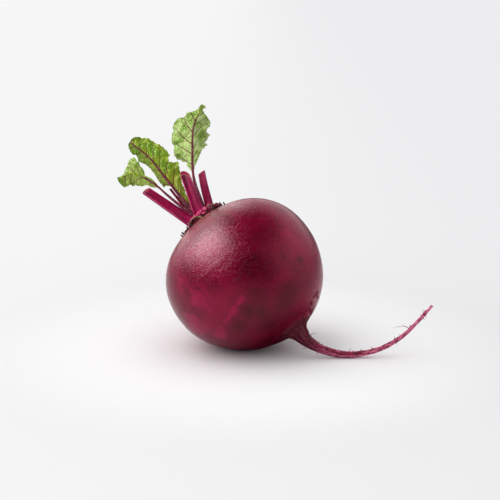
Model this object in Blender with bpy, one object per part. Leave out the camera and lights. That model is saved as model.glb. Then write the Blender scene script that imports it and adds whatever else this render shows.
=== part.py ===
"""A beetroot with its tap root, trimmed leaf stalks and three young leaves, lying tilted on a small flat spot.

Units are metres, +Z is up and the origin is on the flat spot that the bulb rests on.
The bulb's own axis leans. Places near the crown are given in the crown frame, in millimetres from the
bulb's centre: u runs across the crown, v runs away from the front and w runs out along the stalks.
"""

import math

import bmesh
import bpy
from mathutils import Vector

MM = 0.001

# The bulb, in millimetres
BULB_RADIUS = 38.0
CROWN_HEIGHT = 31.5
ROOT_HEIGHT = 37.4
CROWN_POWERS = (2.17, 2.6)
ROOT_POWERS = (1.88, 2.0)
CENTRE_HEIGHT = 36.5
AXIS_RISE = math.radians(41.0)
AXIS_HEADING = math.radians(142.0)
CROWN_ROLL = math.radians(53.0)
MIDDLE_SHIFT = -0.4
CROWN_SHIFT = -0.4
ROOT_SHIFT = 1.75
BULB_SIDES = 32
CROWN_ARC = range(76, -1, -4)
ROOT_ARC = (8, 16, 24, 32, 40, 48, 56, 62, 67, 71)

# The crown's collar: (distance along the axis, radius, shift across)
COLLAR = [(31.3, 12.1, -0.1), (32.3, 11.0, 0.3), (33.4, 10.2, 0.7), (34.5, 9.7, 0.9), (35.0, 9.1, 1.0)]
CROWN_PLANE = 35.0
JOINT_GAP = 0.3

# The neck, where the bulb draws in to the tap root: (distance along the axis, radius, shift across)
NECK = [(-36.3, 9.7, 1.9), (-37.0, 7.7, 2.2), (-37.7, 6.2, 2.6), (-38.5, 5.2, 2.9)]

# The tap root: places along its middle in the part's own frame, each with the root's radius there
TAIL_LINE = [
    (26.3, -18.1, 12.1, 4.2),
    (29.5, -18.8, 8.8, 2.8),
    (36.5, -18.8, 4.5, 2.05),
    (46.0, -18.4, 1.9, 1.65),
    (56.0, -18.2, 2.2, 1.3),
    (66.0, -18.3, 5.4, 1.1),
    (75.0, -18.6, 11.3, 0.9),
    (82.0, -19.0, 18.9, 0.75),
    (88.0, -19.5, 26.1, 0.6),
]
TAIL_STEPS = 32

# Cut stalks: centreline in the crown frame, half width at the crown and at the cut, depth of the channel
# over that half width, the way that the channel faces, and how far the cut slopes across and forwards
STALK_FLATNESS = 0.8
STALK_SKIN = 0.16
FRONT_BULGE = 0.75
STALKS = {
    "cut_stalk_left": {
        "line": [(-4.1, -3.0, 34.0), (-8.9, -3.0, 50.3), (-12.8, -3.0, 63.6)],
        "half_width": (2.7, 2.25),
        "channel": 0.25,
        "front": (0.2, -0.9, 0.1),
        "slope": (0.1, 0.0),
    },
    "cut_stalk_thin": {
        "line": [(-3.0, 5.9, 34.0), (-3.2, 6.4, 48.0), (-3.1, 7.0, 60.4)],
        "half_width": (0.85, 0.55),
        "channel": 0.2,
        "front": (0.3, -0.9, 0.0),
        "slope": (0.3, 0.0),
    },
    "cut_stalk_middle": {
        "line": [(0.0, -5.0, 34.0), (4.0, -4.6, 47.1), (6.9, -3.6, 56.9)],
        "half_width": (2.9, 2.35),
        "channel": 0.5,
        "front": (-0.15, -0.95, 0.0),
        "slope": (1.0, 0.35),
    },
    "cut_stalk_right": {
        "line": [(5.2, -0.2, 34.0), (10.5, 0.0, 46.8), (14.1, 0.2, 54.4)],
        "half_width": (2.2, 1.8),
        "channel": 0.25,
        "front": (-0.25, -0.95, 0.0),
        "slope": (-0.4, 0.0),
    },
}
STALK_STEPS = 8
STALK_POINTS = 7
BEYOND_CUT = 5.0

# Leaves: centreline of stalk and midrib in the crown frame, half width of the rib at the crown and at the
# tip, and how far each side of the blade turns back from the way that the rib's front faces.
# Each side is given as (share of the way from crown to tip, width of the blade beyond the rib).
BLADE_THICKNESS = 0.6
LEAF_FLATNESS = 0.8
LEAF_CHANNEL = 0.35
LEAVES = {
    "leaf_upright": {
        "line": [
            (2.2, 2.4, 34.0),
            (5.8, 4.0, 46.3),
            (10.0, 6.3, 58.0),
            (17.0, 7.9, 68.8),
            (25.3, 7.6, 78.9),
            (35.9, 4.8, 84.0),
        ],
        "rib": (1.4, 0.3),
        "left": [(0.42, 0.0), (0.54, 4.4), (0.65, 10.4), (0.8, 11.4), (0.92, 5.5), (1.0, 0.8)],
        "right": [(0.42, 0.0), (0.62, 4.6), (0.77, 8.0), (0.87, 8.2), (0.94, 5.2), (1.0, 0.8)],
        "turn": (math.radians(18), math.radians(24)),
        "front": (0.15, -1.0, 0.1),
    },
    "leaf_leaning": {
        "line": [(-1.2, 2.6, 34.0), (-1.5, 2.9, 49.0), (-1.6, 3.3, 64.0), (-1.7, 3.9, 79.0), (-4.5, 5.8, 93.1)],
        "rib": (1.3, 0.3),
        "left": [(0.4, 0.0), (0.54, 5.4), (0.72, 5.4), (0.88, 7.5), (0.95, 6.2), (1.0, 1.8)],
        "right": [(0.1, 0.0), (0.3, 3.0), (0.54, 8.6), (0.75, 9.0), (0.92, 5.8), (1.0, 0.8)],
        "turn": (math.radians(50), math.radians(16)),
        "front": (0.0, -1.0, 0.2),
    },
    "leaf_folded": {
        "line": [
            (-1.4, -0.5, 34.0),
            (-3.7, 0.1, 44.9),
            (-5.9, 1.0, 55.9),
            (-8.0, 1.5, 66.6),
            (-12.9, 0.7, 76.6),
            (-20.6, 0.2, 79.0),
        ],
        "rib": (1.25, 0.3),
        "left": [(0.5, 0.0), (0.62, 1.6), (0.77, 4.2), (0.88, 5.4), (0.95, 3.6), (1.0, 0.6)],
        "right": [(0.5, 0.0), (0.68, 1.6), (0.76, 8.8), (0.83, 7.4), (0.92, 2.6), (1.0, 0.6)],
        "turn": (math.radians(25), math.radians(20)),
        "front": (0.1, -1.0, 0.1),
    },
    "leaf_young": {
        "line": [(0.2, 6.6, 34.0), (-0.5, 7.1, 42.0), (-1.2, 7.8, 50.0), (-1.8, 8.6, 57.0)],
        "rib": (0.75, 0.3),
        "left": [(0.25, 0.0), (0.55, 2.2), (0.85, 1.6), (1.0, 0.3)],
        "right": [(0.25, 0.0), (0.55, 2.8), (0.85, 2.0), (1.0, 0.3)],
        "turn": (math.radians(10), math.radians(30)),
        "front": (0.0, -1.0, 0.1),
    },
}
LEAF_STEPS = 26
LEAF_POINTS = 10

# Withered stubs of old leaf stalks round the shoulder: (bearing in degrees, distance out, height)
STUBS = [
    (2, 12.6, 3.2),
    (-20, 12.0, 2.4),
    (-50, 12.2, 1.8),
    (-82, 12.3, 1.5),
    (-116, 12.1, 1.6),
    (-150, 12.3, 2.0),
    (180, 12.0, 3.0),
    (150, 12.3, 2.0),
    (118, 12.0, 2.4),
    (84, 12.4, 2.0),
    (56, 12.1, 2.5),
    (27, 12.0, 2.0),
]
STUB_SIZE = (0.45, 0.7)
STUB_SIDES = 6
STUB_TAPER = ((0.0, 1.0), (0.5, 0.7), (1.0, 0.3))
STUB_LEAN = 0.8
SHOULDER_RADIUS = 12.1
SHOULDER_HEIGHT = 31.4
SHOULDER_SLOPE = 0.9

SHARP_ANGLE = math.radians(40)

# Each finish: colour and roughness
FINISHES = {
    "beet_skin": ((0.16, 0.012, 0.045), 0.38),
    "stalk": ((0.27, 0.008, 0.055), 0.4),
    "leaf": ((0.20, 0.36, 0.035), 0.45),
    "withered": ((0.045, 0.016, 0.014), 0.8),
}


def clear_scene():
    for thing in list(bpy.data.objects):
        bpy.data.objects.remove(thing)


def make_finish(name):
    colour, roughness = FINISHES[name]
    finish = bpy.data.materials.new(name)
    finish.use_nodes = True
    shader = finish.node_tree.nodes["Principled BSDF"]
    shader.inputs["Base Color"].default_value = (*colour, 1.0)
    shader.inputs["Roughness"].default_value = roughness
    shader.inputs["Metallic"].default_value = 0.0
    return finish


# The crown frame
AXIS_OUT = Vector(
    (
        math.cos(AXIS_RISE) * math.cos(AXIS_HEADING),
        math.cos(AXIS_RISE) * math.sin(AXIS_HEADING),
        math.sin(AXIS_RISE),
    )
)
LEVEL = AXIS_OUT.cross(Vector((0, 0, 1))).normalized()
ACROSS = LEVEL * math.cos(CROWN_ROLL) + LEVEL.cross(AXIS_OUT) * math.sin(CROWN_ROLL)
BEHIND = AXIS_OUT.cross(ACROSS)
BULB_CENTRE = Vector((0, 0, CENTRE_HEIGHT))


def crown_way(u, v, w):
    return ACROSS * u + BEHIND * v + AXIS_OUT * w


def crown_place(u, v, w):
    return BULB_CENTRE + crown_way(u, v, w)


def between(ends, share):
    """The value at a share of the way from the first end to the second, and no further."""
    return ends[0] + (ends[1] - ends[0]) * min(share, 1.0)


def side_width(side, share):
    """The blade's width at this share of the way to the tip, eased from each given place to the next."""
    if share <= side[0][0]:
        return side[0][1]
    for (low, start), (high, end) in zip(side, side[1:]):
        if share <= high:
            part = (share - low) / (high - low)
            return start + (end - start) * part * part * (3 - 2 * part)
    return side[-1][1]


def smooth_line(points, count):
    """Points and directions along a Catmull-Rom curve through the given points."""
    points = [Vector(p) for p in points]
    ends = [points[0] * 2 - points[1], *points, points[-1] * 2 - points[-2]]
    spans = len(points) - 1
    line = []
    for step in range(count + 1):
        place = spans * step / count
        span = min(int(place), spans - 1)
        t = place - span
        a, b, c, d = ends[span : span + 4]
        square = a * 2 - b * 5 + c * 4 - d
        cube = b * 3 - a - c * 3 + d
        spot = b + (c - a) * t / 2 + square * t**2 / 2 + cube * t**3 / 2
        way = (c - a) / 2 + square * t + cube * t**2 * 1.5
        line.append((spot, way))
    return line


def loft(rings):
    """A closed solid: the first ring's face is extruded from ring to ring."""
    mesh = bmesh.new()
    cap = mesh.faces.new([mesh.verts.new(place * MM) for place in rings[0]])
    for ring in rings[1:]:
        cap = bmesh.ops.extrude_discrete_faces(mesh, faces=[cap])["faces"][0]
        for vert, place in zip(cap.verts, ring):
            vert.co = place * MM
    fill_holes(mesh)
    return mesh


def fill_holes(mesh):
    rim = [edge for edge in mesh.edges if edge.is_boundary]
    bmesh.ops.holes_fill(mesh, edges=rim, sides=0)
    bmesh.ops.recalc_face_normals(mesh, faces=mesh.faces)


def slice_off(mesh, place, way):
    """Cuts away everything beyond a plane, in the way given, and closes the cut with one flat face."""
    everything = mesh.verts[:] + mesh.edges[:] + mesh.faces[:]
    bmesh.ops.bisect_plane(mesh, geom=everything, plane_co=place * MM, plane_no=way, clear_outer=True)
    fill_holes(mesh)


def add_part(name, mesh, finish):
    data = bpy.data.meshes.new(name)
    mesh.to_mesh(data)
    mesh.free()
    data.shade_smooth()
    data.set_sharp_from_angle(angle=SHARP_ANGLE)
    data.materials.append(finish)
    part = bpy.data.objects.new(name, data)
    bpy.context.scene.collection.objects.link(part)
    return part


def bulb_shift(w):
    """How far the bulb's middle line bows across at this distance along the axis."""
    end, shift = (CROWN_HEIGHT, CROWN_SHIFT) if w > 0 else (ROOT_HEIGHT, ROOT_SHIFT)
    return MIDDLE_SHIFT + (shift - MIDDLE_SHIFT) * min(abs(w) / end, 1.0) ** 2


def bulb_ring(w, radius, shift):
    """A ring of points round the bulb's middle line."""
    ring = []
    for side in range(BULB_SIDES):
        turn = 2 * math.pi * side / BULB_SIDES
        ring.append(crown_place(shift + radius * math.cos(turn), radius * math.sin(turn), w))
    return ring


def bulb_radius(share, powers):
    """The bulb's radius at this share of the way from its middle to one of its ends."""
    return BULB_RADIUS * (1 - share ** powers[0]) ** (1 / powers[1])


def tail_ring(spot, way, radius):
    """A ring of points round the tap root, in step with the bulb's rings."""
    across = (ACROSS - way * ACROSS.dot(way)).normalized()
    behind = across.cross(way)
    ring = []
    for side in range(BULB_SIDES):
        turn = 2 * math.pi * side / BULB_SIDES
        ring.append(spot + (across * math.cos(turn) + behind * math.sin(turn)) * radius)
    return ring


def make_beet_root(finish):
    """The bulb, its crown collar and the tap root grew as one piece."""
    rings = [bulb_ring(w, radius, shift) for w, radius, shift in reversed(COLLAR)]
    for degrees in CROWN_ARC:
        share = math.sin(math.radians(degrees))
        w = CROWN_HEIGHT * share
        rings.append(bulb_ring(w, bulb_radius(share, CROWN_POWERS), bulb_shift(w)))
    for degrees in ROOT_ARC:
        share = math.sin(math.radians(degrees))
        w = -ROOT_HEIGHT * share
        rings.append(bulb_ring(w, bulb_radius(share, ROOT_POWERS), bulb_shift(w)))
    rings += [bulb_ring(w, radius, shift) for w, radius, shift in NECK]
    for place, way in smooth_line(TAIL_LINE, TAIL_STEPS):
        rings.append(tail_ring(place.xyz, way.xyz.normalized(), place.w))
    mesh = loft(rings)
    slice_off(mesh, Vector((0, 0, 0)), Vector((0, 0, -1)))
    return add_part("beet_root", mesh, finish)


def section(spot, way, front, shape, points):
    """A closed ring through a stalk or a leaf: a channelled rib with a thin blade out to each side."""
    rib, left, right, thickness, flatness, channel, turn = shape
    across = way.cross(front).normalized()
    out = across.cross(way).normalized()
    near, far = [], []
    for step in range(points):
        q = -math.cos(math.pi * (step + 0.5) / points)
        x = q * (rib + (left if q < 0 else right))
        inside = math.sqrt(max(0.0, 1 - (x / rib) ** 2))
        back = turn[0] if q < 0 else turn[1]
        blade = max(0.0, abs(x) - rib)
        spread = across * math.copysign(min(abs(x), rib) + blade * math.cos(back), x)
        middle = spot + spread - out * (blade * math.sin(back))
        bulge = flatness * rib * inside
        near.append(middle + out * (thickness / 2 + bulge * FRONT_BULGE - channel * rib * inside**2))
        far.append(middle - out * (thickness / 2 + bulge))
    return near + far[::-1]


def cut_at_crown(mesh):
    """A stalk starts just clear of the crown's flat top."""
    slice_off(mesh, crown_place(0, 0, CROWN_PLANE + JOINT_GAP), -AXIS_OUT)


def make_cut_stalk(name, finish):
    stalk = STALKS[name]
    front = crown_way(*stalk["front"])
    line = smooth_line([crown_place(*p) for p in stalk["line"]], STALK_STEPS)
    tip, way = line[-1]
    way.normalize()
    line.append((tip + way * BEYOND_CUT, way))
    rings = []
    for step, (spot, heading) in enumerate(line):
        rib = between(stalk["half_width"], step / STALK_STEPS)
        shape = (rib, 0.0, 0.0, STALK_SKIN, STALK_FLATNESS, stalk["channel"], (0.0, 0.0))
        rings.append(section(spot, heading, front, shape, STALK_POINTS))
    mesh = loft(rings)
    cut_at_crown(mesh)
    across = way.cross(front).normalized()
    slope_across, slope_front = stalk["slope"]
    slice_off(mesh, tip, way + across * slope_across + across.cross(way) * slope_front)
    return add_part(name, mesh, finish)


def make_leaf(name, finish):
    leaf = LEAVES[name]
    front = crown_way(*leaf["front"])
    rings = []
    for step, (spot, way) in enumerate(smooth_line([crown_place(*p) for p in leaf["line"]], LEAF_STEPS)):
        share = step / LEAF_STEPS
        rib = between(leaf["rib"], share)
        left, right = side_width(leaf["left"], share), side_width(leaf["right"], share)
        shape = (rib, left, right, BLADE_THICKNESS, LEAF_FLATNESS, LEAF_CHANNEL, leaf["turn"])
        rings.append(section(spot, way, front, shape, LEAF_POINTS))
    mesh = loft(rings)
    cut_at_crown(mesh)
    return add_part(name, mesh, finish)


def make_stub(number, finish):
    """A withered point that leans outwards, just clear of the sloping shoulder it grew from."""
    bearing, distance, height = STUBS[number]
    turn = math.radians(bearing)
    rings = []
    for share, size in STUB_TAPER:
        ring = []
        for side in range(STUB_SIDES):
            around = 2 * math.pi * side / STUB_SIDES
            out = distance + STUB_SIZE[0] * size * math.cos(around)
            aside = STUB_SIZE[1] * size * math.sin(around)
            foot = SHOULDER_HEIGHT + (SHOULDER_RADIUS - out) * SHOULDER_SLOPE + JOINT_GAP
            out += share * STUB_LEAN
            u = out * math.cos(turn) - aside * math.sin(turn)
            v = out * math.sin(turn) + aside * math.cos(turn)
            ring.append(crown_place(u, v, foot + share * height))
        rings.append(ring)
    return add_part(f"withered_stub_{number + 1:02d}", loft(rings), finish)


def main():
    clear_scene()
    finishes = {name: make_finish(name) for name in FINISHES}
    make_beet_root(finishes["beet_skin"])
    for name in STALKS:
        make_cut_stalk(name, finishes["stalk"])
    for name in LEAVES:
        make_leaf(name, finishes["leaf"])
    for number in range(len(STUBS)):
        make_stub(number, finishes["withered"])


main()
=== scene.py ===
# %% [markdown]
# # A beetroot, grown from rings
# This lesson dresses a beetroot for its picture: a glossy crimson bulb with a long tap root, stalks that
# were trimmed with a knife, a few young leaves and the dry brown scraps round the crown.
# The measured model is loaded first. It gives the frame in which every new piece is placed, in metres.

# %% Load the measured model
import math
import random

import bmesh
import bpy
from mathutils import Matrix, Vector, bvhtree, geometry, noise


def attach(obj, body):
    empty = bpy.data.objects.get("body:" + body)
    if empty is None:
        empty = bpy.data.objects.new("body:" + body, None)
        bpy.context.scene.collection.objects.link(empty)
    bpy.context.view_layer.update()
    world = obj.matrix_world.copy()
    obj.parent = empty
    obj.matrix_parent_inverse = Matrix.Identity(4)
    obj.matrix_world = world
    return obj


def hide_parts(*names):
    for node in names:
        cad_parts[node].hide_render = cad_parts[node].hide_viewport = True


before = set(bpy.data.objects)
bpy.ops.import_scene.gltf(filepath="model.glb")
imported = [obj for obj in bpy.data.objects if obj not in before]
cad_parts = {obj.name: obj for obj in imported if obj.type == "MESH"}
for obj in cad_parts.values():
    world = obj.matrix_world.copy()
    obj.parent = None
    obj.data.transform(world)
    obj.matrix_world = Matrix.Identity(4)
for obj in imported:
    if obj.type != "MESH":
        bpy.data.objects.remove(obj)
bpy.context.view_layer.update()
print("measured pieces:", len(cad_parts))

# %% [markdown]
# ## Places near the crown
# The beetroot lies tilted, so up and down are awkward ways to say where a leaf is.
# A gardener would say how far out along the stalks it is. The crown frame does that, in millimetres
# from the middle of the bulb: u runs across the crown, v runs to its back and w runs out along the stalks.
# Two angles aim the bulb's axis and a third one rolls the crown about it.

# %% The crown frame
MM = 0.001
CENTRE_HEIGHT = 36.5
AXIS_RISE = math.radians(41.0)
AXIS_HEADING = math.radians(142.0)
CROWN_ROLL = math.radians(53.0)

UP = Vector((0, 0, 1))
LEVEL_HEADING = Vector((math.cos(AXIS_HEADING), math.sin(AXIS_HEADING), 0))
AXIS_OUT = LEVEL_HEADING * math.cos(AXIS_RISE) + UP * math.sin(AXIS_RISE)
LEVEL = AXIS_OUT.cross(UP).normalized()
ACROSS = LEVEL * math.cos(CROWN_ROLL) + LEVEL.cross(AXIS_OUT) * math.sin(CROWN_ROLL)
BEHIND = AXIS_OUT.cross(ACROSS)
BULB_CENTRE = Vector((0, 0, CENTRE_HEIGHT))


def crown_way(u, v, w):
    return ACROSS * u + BEHIND * v + AXIS_OUT * w


def crown_place(u, v, w):
    return BULB_CENTRE + crown_way(u, v, w)


def round_crown(bearing, out, aside, w):
    """A place this far out from the bulb's axis at a bearing in degrees, and this far aside from that."""
    turn = math.radians(bearing)
    u = out * math.cos(turn) - aside * math.sin(turn)
    v = out * math.sin(turn) + aside * math.cos(turn)
    return crown_place(u, v, w)


print("the stalks point", [round(part, 2) for part in AXIS_OUT])

# %% [markdown]
# ## Smooth lines
# Nothing on a plant is straight. A Catmull-Rom curve runs through every point that it is given, so a
# stalk or the tap root needs only the few places that it is known to pass. It also works on points with
# a fourth number, which here is the thickness.

# %% Curves, eased steps and rings of points
def between_knots(a, b, c, d, t):
    """The place and the direction at t on the way from b to c, with a before them and d after them."""
    square = a * 2 - b * 5 + c * 4 - d
    cube = b * 3 - a - c * 3 + d
    spot = b + (c - a) * t / 2 + square * t**2 / 2 + cube * t**3 / 2
    way = (c - a) / 2 + square * t + cube * t**2 * 1.5
    return spot, way


def with_ends(points):
    """Adds a point before the first and one after the last, so that every span has four knots."""
    return [points[0] * 2 - points[1], *points, points[-1] * 2 - points[-2]]


def smooth_line(points, count):
    """Places and directions at even steps along the curve through the points."""
    knots = with_ends([Vector(point) for point in points])
    spans = len(points) - 1
    line = []
    for step in range(count + 1):
        along = spans * step / count
        span = min(int(along), spans - 1)
        line.append(between_knots(*knots[span : span + 4], along - span))
    return line


def ease(low, high, value):
    """Rises smoothly from 0 at the low value to 1 at the high one. It falls if low is the larger."""
    share = min(max((value - low) / (high - low), 0.0), 1.0)
    return share * share * (3 - 2 * share)


def turns(sides):
    """The cosine and the sine of each turn round a ring."""
    angles = [2 * math.pi * side / sides for side in range(sides)]
    return [(math.cos(angle), math.sin(angle)) for angle in angles]


def round_ring(middle, across, behind, radius, sides):
    return [middle + (across * cos + behind * sin) * radius for cos, sin in turns(sides)]


print("five eased steps:", [round(ease(0, 4, step), 2) for step in range(5)])

# %% [markdown]
# ## Growing a solid ring by ring
# Roots, stalks and leaves are all long things whose cross-section changes as they go.
# A loft suits them: one face is drawn, then extruded again and again, and each time its corners are moved
# on to the next ring. Every corner can also carry marks, which are named numbers such as how corky the
# skin is there. The materials read them later, so a colour follows the shape that it belongs to.

# %% Loft, slice and set down
CREASE_ANGLE = math.radians(50)


def close_ends(mesh):
    """Fills every open rim with one flat face, and returns those faces."""
    rim = [edge for edge in mesh.edges if edge.is_boundary]
    lids = bmesh.ops.holes_fill(mesh, edges=rim, sides=0)["faces"]
    bmesh.ops.recalc_face_normals(mesh, faces=mesh.faces)
    return lids


def grow(rings, marks=()):
    """A closed solid, extruded from ring to ring. The marks hold a dictionary for each corner of a ring."""
    mesh = bmesh.new()
    layers = {}
    for name, value in marks[0][0].items() if marks else ():
        kinds = mesh.verts.layers.float_vector if isinstance(value, Vector) else mesh.verts.layers.float
        layers[name] = kinds.new(name)
    cap = mesh.faces.new([mesh.verts.new(place * MM) for place in rings[0]])
    for row, ring in enumerate(rings):
        if row:
            cap = bmesh.ops.extrude_discrete_faces(mesh, faces=[cap])["faces"][0]
        for side, (vert, place) in enumerate(zip(cap.verts, ring)):
            vert.co = place * MM
            for name, layer in layers.items():
                vert[layer] = marks[row][side][name]
    close_ends(mesh)
    return mesh


def slice_off(mesh, place, way):
    """Cuts away everything beyond a plane and returns the flat faces that close the cut."""
    everything = mesh.verts[:] + mesh.edges[:] + mesh.faces[:]
    bmesh.ops.bisect_plane(mesh, geom=everything, plane_co=place * MM, plane_no=way, clear_outer=True)
    return close_ends(mesh)


def join(meshes):
    """One mesh out of several closed ones."""
    whole = bmesh.new()
    for mesh in meshes:
        data = bpy.data.meshes.new("part_of_whole")
        mesh.to_mesh(data)
        mesh.free()
        whole.from_mesh(data)
        bpy.data.meshes.remove(data)
    return whole


def place_object(name, data):
    thing = bpy.data.objects.new(name, data)
    bpy.context.scene.collection.objects.link(thing)
    return thing


def set_down(name, mesh, finish, stands_for=()):
    """Turns a finished mesh into a piece that moves with the beetroot."""
    data = bpy.data.meshes.new(name)
    mesh.to_mesh(data)
    mesh.free()
    data.shade_smooth()
    data.set_sharp_from_angle(angle=CREASE_ANGLE)
    data.materials.append(finish)
    piece = place_object(name, data)
    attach(piece, "root")
    if stands_for:
        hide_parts(*stands_for)
    print(f"{name}: {sum(len(face.vertices) - 2 for face in data.polygons)} triangles")


print("edges sharper than", round(math.degrees(CREASE_ANGLE)), "degrees stay sharp")

# %% [markdown]
# ## Wiring materials
# A procedural material is a small machine of nodes. Joining them one by one takes many lines, so these
# helpers each add one node, set it up and hand back its result for the next one.
# All sizes in the patterns are in millimetres, because the marks that place them are.

# %% Materials, sockets and sums
WAX_IOR = 1.4


def new_finish(name, roughness, ior=WAX_IOR):
    finish = bpy.data.materials.new(name)
    finish.use_nodes = True
    shader = finish.node_tree.nodes["Principled BSDF"]
    shader.inputs["Roughness"].default_value = roughness
    shader.inputs["IOR"].default_value = ior
    return finish, finish.node_tree, shader


def plug(tree, socket, value):
    """Joins a socket to another node's result, or sets it to a plain value."""
    if isinstance(value, bpy.types.NodeSocket):
        tree.links.new(value, socket)
    elif hasattr(value, "__len__") and len(value) == 3 and len(socket.default_value) == 4:
        socket.default_value = (*value, 1.0)
    else:
        socket.default_value = value


def mark(tree, name, whole=False):
    """Reads a mark that the mesh carries: one number, or a whole place."""
    node = tree.nodes.new("ShaderNodeAttribute")
    node.attribute_name = name
    return node.outputs["Vector" if whole else "Fac"]


def maths(tree, operation, first, second=0.0):
    node = tree.nodes.new("ShaderNodeMath")
    node.operation = operation
    plug(tree, node.inputs[0], first)
    plug(tree, node.inputs[1], second)
    return node.outputs[0]


def times(tree, first, second):
    return maths(tree, "MULTIPLY", first, second)


def vectors(tree, operation, first, second=(0, 0, 0)):
    """A sum on places. Lengths, distances and dot products come back as one number."""
    node = tree.nodes.new("ShaderNodeVectorMath")
    node.operation = operation
    plug(tree, node.inputs[0], first)
    plug(tree, node.inputs[1], second)
    return node.outputs["Value" if operation in ("LENGTH", "DISTANCE", "DOT_PRODUCT") else "Vector"]


def stretch(tree, place, scale):
    return vectors(tree, "MULTIPLY", place, scale)


print("wax bends light by", WAX_IOR)

# %% [markdown]
# ## Patterns, coats and relief
# Almost every surface here is built in the same way. Soft noise and cells give the patterns, and spread
# turns a pattern into the share of the surface that a colour covers. Then the colours are laid over each
# other like coats of thin paint, and bumps are laid over each other in the same way. Writing both as
# lists keeps a finish readable from its undercoat to its last speck.

# %% Patterns and layers
def cloud(tree, place, scale, detail=4.0, roughness=0.55, bend=0.0):
    """A soft noise between 0 and 1, whose lumps are about one over the scale in size."""
    node = tree.nodes.new("ShaderNodeTexNoise")
    settings = {"Vector": place, "Scale": scale, "Detail": detail, "Roughness": roughness, "Distortion": bend}
    for socket, value in settings.items():
        plug(tree, node.inputs[socket], value)
    return node.outputs[0]


def cells(tree, place, scale, feature="F1"):
    node = tree.nodes.new("ShaderNodeTexVoronoi")
    node.feature = feature
    plug(tree, node.inputs["Vector"], place)
    plug(tree, node.inputs["Scale"], scale)
    return node.outputs


def spread(tree, value, low, high, start=0.0, end=1.0):
    """Carries the range from low to high over to the range from start to end, eased at both ends."""
    node = tree.nodes.new("ShaderNodeMapRange")
    node.interpolation_type = "SMOOTHSTEP"
    for socket, number in zip(node.inputs, (value, low, high, start, end)):
        plug(tree, socket, number)
    return node.outputs[0]


def mix(tree, share, first, second):
    """Lays the second colour over the first one."""
    node = tree.nodes.new("ShaderNodeMix")
    node.data_type = "RGBA"
    for socket, value in ((0, share), (6, first), (7, second)):
        plug(tree, node.inputs[socket], value)
    return node.outputs[2]


def coats(tree, colour, *layers):
    """Lays colours over the first one in turn. Each comes after the share that it covers."""
    for share, over in layers:
        colour = mix(tree, share, colour, over)
    return colour


def relief(tree, shader, *layers):
    """Lays bumps over each other. Each is a height and its depth in millimetres."""
    normal = None
    for height, depth in layers:
        bump = tree.nodes.new("ShaderNodeBump")
        bump.inputs["Distance"].default_value = depth * MM
        plug(tree, bump.inputs["Height"], height)
        if normal is not None:
            tree.links.new(normal, bump.inputs["Normal"])
        normal = bump.outputs[0]
    tree.links.new(normal, shader.inputs["Normal"])


print("a coat is a share and a colour, a bump is a height and a depth")

# %% [markdown]
# ## The skin of the root
# Beet skin is a thin waxy film over dark crimson flesh. It is creased like fine leather, and the creases
# run round the bulb. Dry patches are greyer, tiny pores show as pale specks, and near the crown the skin
# turns to tan cork. An image wrapped round the bulb would smear at its ends, so the pattern reads a mark
# called skin instead: a place on the unrolled surface, which stays even all over.

# %% Colours of the bulb
DEEP_CRIMSON = (0.235, 0.001, 0.038)
# Dark wine is the skin's own darker patches, and also painted shade across the front of the bulb.
DARK_WINE = (0.075, 0.0003, 0.008)
DUSTY_MAUVE = (0.15, 0.006, 0.032)
# The bright crimson is painted light on the left of the bulb, and lighter mottling elsewhere.
CRIMSON_MOTTLE_AND_PAINTED_LIGHT = (0.38, 0.003, 0.078)
PORE_PINK = (0.42, 0.03, 0.10)


def pore_specks(tree, place):
    """Pale specks in the middles of cells. A random number in each cell's colour keeps a third of them."""
    pores = cells(tree, place, 0.55)
    part = tree.nodes.new("ShaderNodeSeparateColor")
    tree.links.new(pores["Color"], part.inputs[0])
    kept = spread(tree, part.outputs[0], 0.62, 0.7)
    return times(tree, spread(tree, pores["Distance"], 0.12, 0.05, 0.0, 0.35), kept)


def bulb_colour(tree, place, mottle, streaks):
    patches = cloud(tree, place, 0.05, 5.0, 0.6, bend=0.6)
    dust = cloud(tree, stretch(tree, place, (0.7, 0.7, 1.0)), 0.07, 6.0, 0.55, bend=1.2)
    # Painted shade and painted light: the shaded coat darkens the front of the bulb and the bright coat
    # lights its left, with some mottling in both.
    shaded = times(tree, mark(tree, "shaded"), spread(tree, mottle, 0.3, 0.65, 1.0, 0.7))
    bright = maths(tree, "ADD", mark(tree, "bright"), times(tree, mottle, 0.9))
    return coats(
        tree,
        DEEP_CRIMSON,
        (spread(tree, patches, 0.42, 0.64, 0.0, 0.45), DARK_WINE),
        (spread(tree, dust, 0.5, 0.58, 0.0, 0.22), DUSTY_MAUVE),
        (shaded, DARK_WINE),
        (spread(tree, bright, 0.6, 1.0, 0.0, 0.6), CRIMSON_MOTTLE_AND_PAINTED_LIGHT),
        (spread(tree, streaks, 0.58, 0.78, 0.0, 0.08), PORE_PINK),
        (pore_specks(tree, place), PORE_PINK),
    )


print("colours of the bulb, from its undercoat:", DEEP_CRIMSON, DARK_WINE, DUSTY_MAUVE, CRIMSON_MOTTLE_AND_PAINTED_LIGHT)

# %% Colours of the shoulder and the tap root
SHOULDER_BROWN = (0.23, 0.055, 0.045)
SHOULDER_WINE = (0.16, 0.02, 0.03)
CORK_TAN = (0.37, 0.18, 0.1)
CORK_BROWN = (0.15, 0.06, 0.04)
COLLAR_WINE = (0.08, 0.003, 0.014)
# The tail's dark wine is partly painted shade, where the neck lies under the bulb.
TAIL_WINE_AND_NECK_SHADE = (0.085, 0.0015, 0.013)
TAIL_ROSE = (0.48, 0.10, 0.19)
# The pale pink is partly a painted highlight, on the crests of the tap root and on the scabs.
TAIL_PINK_AND_HIGHLIGHT = (0.75, 0.27, 0.40)
TAIL_BRUISE = (0.13, 0.004, 0.02)


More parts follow.
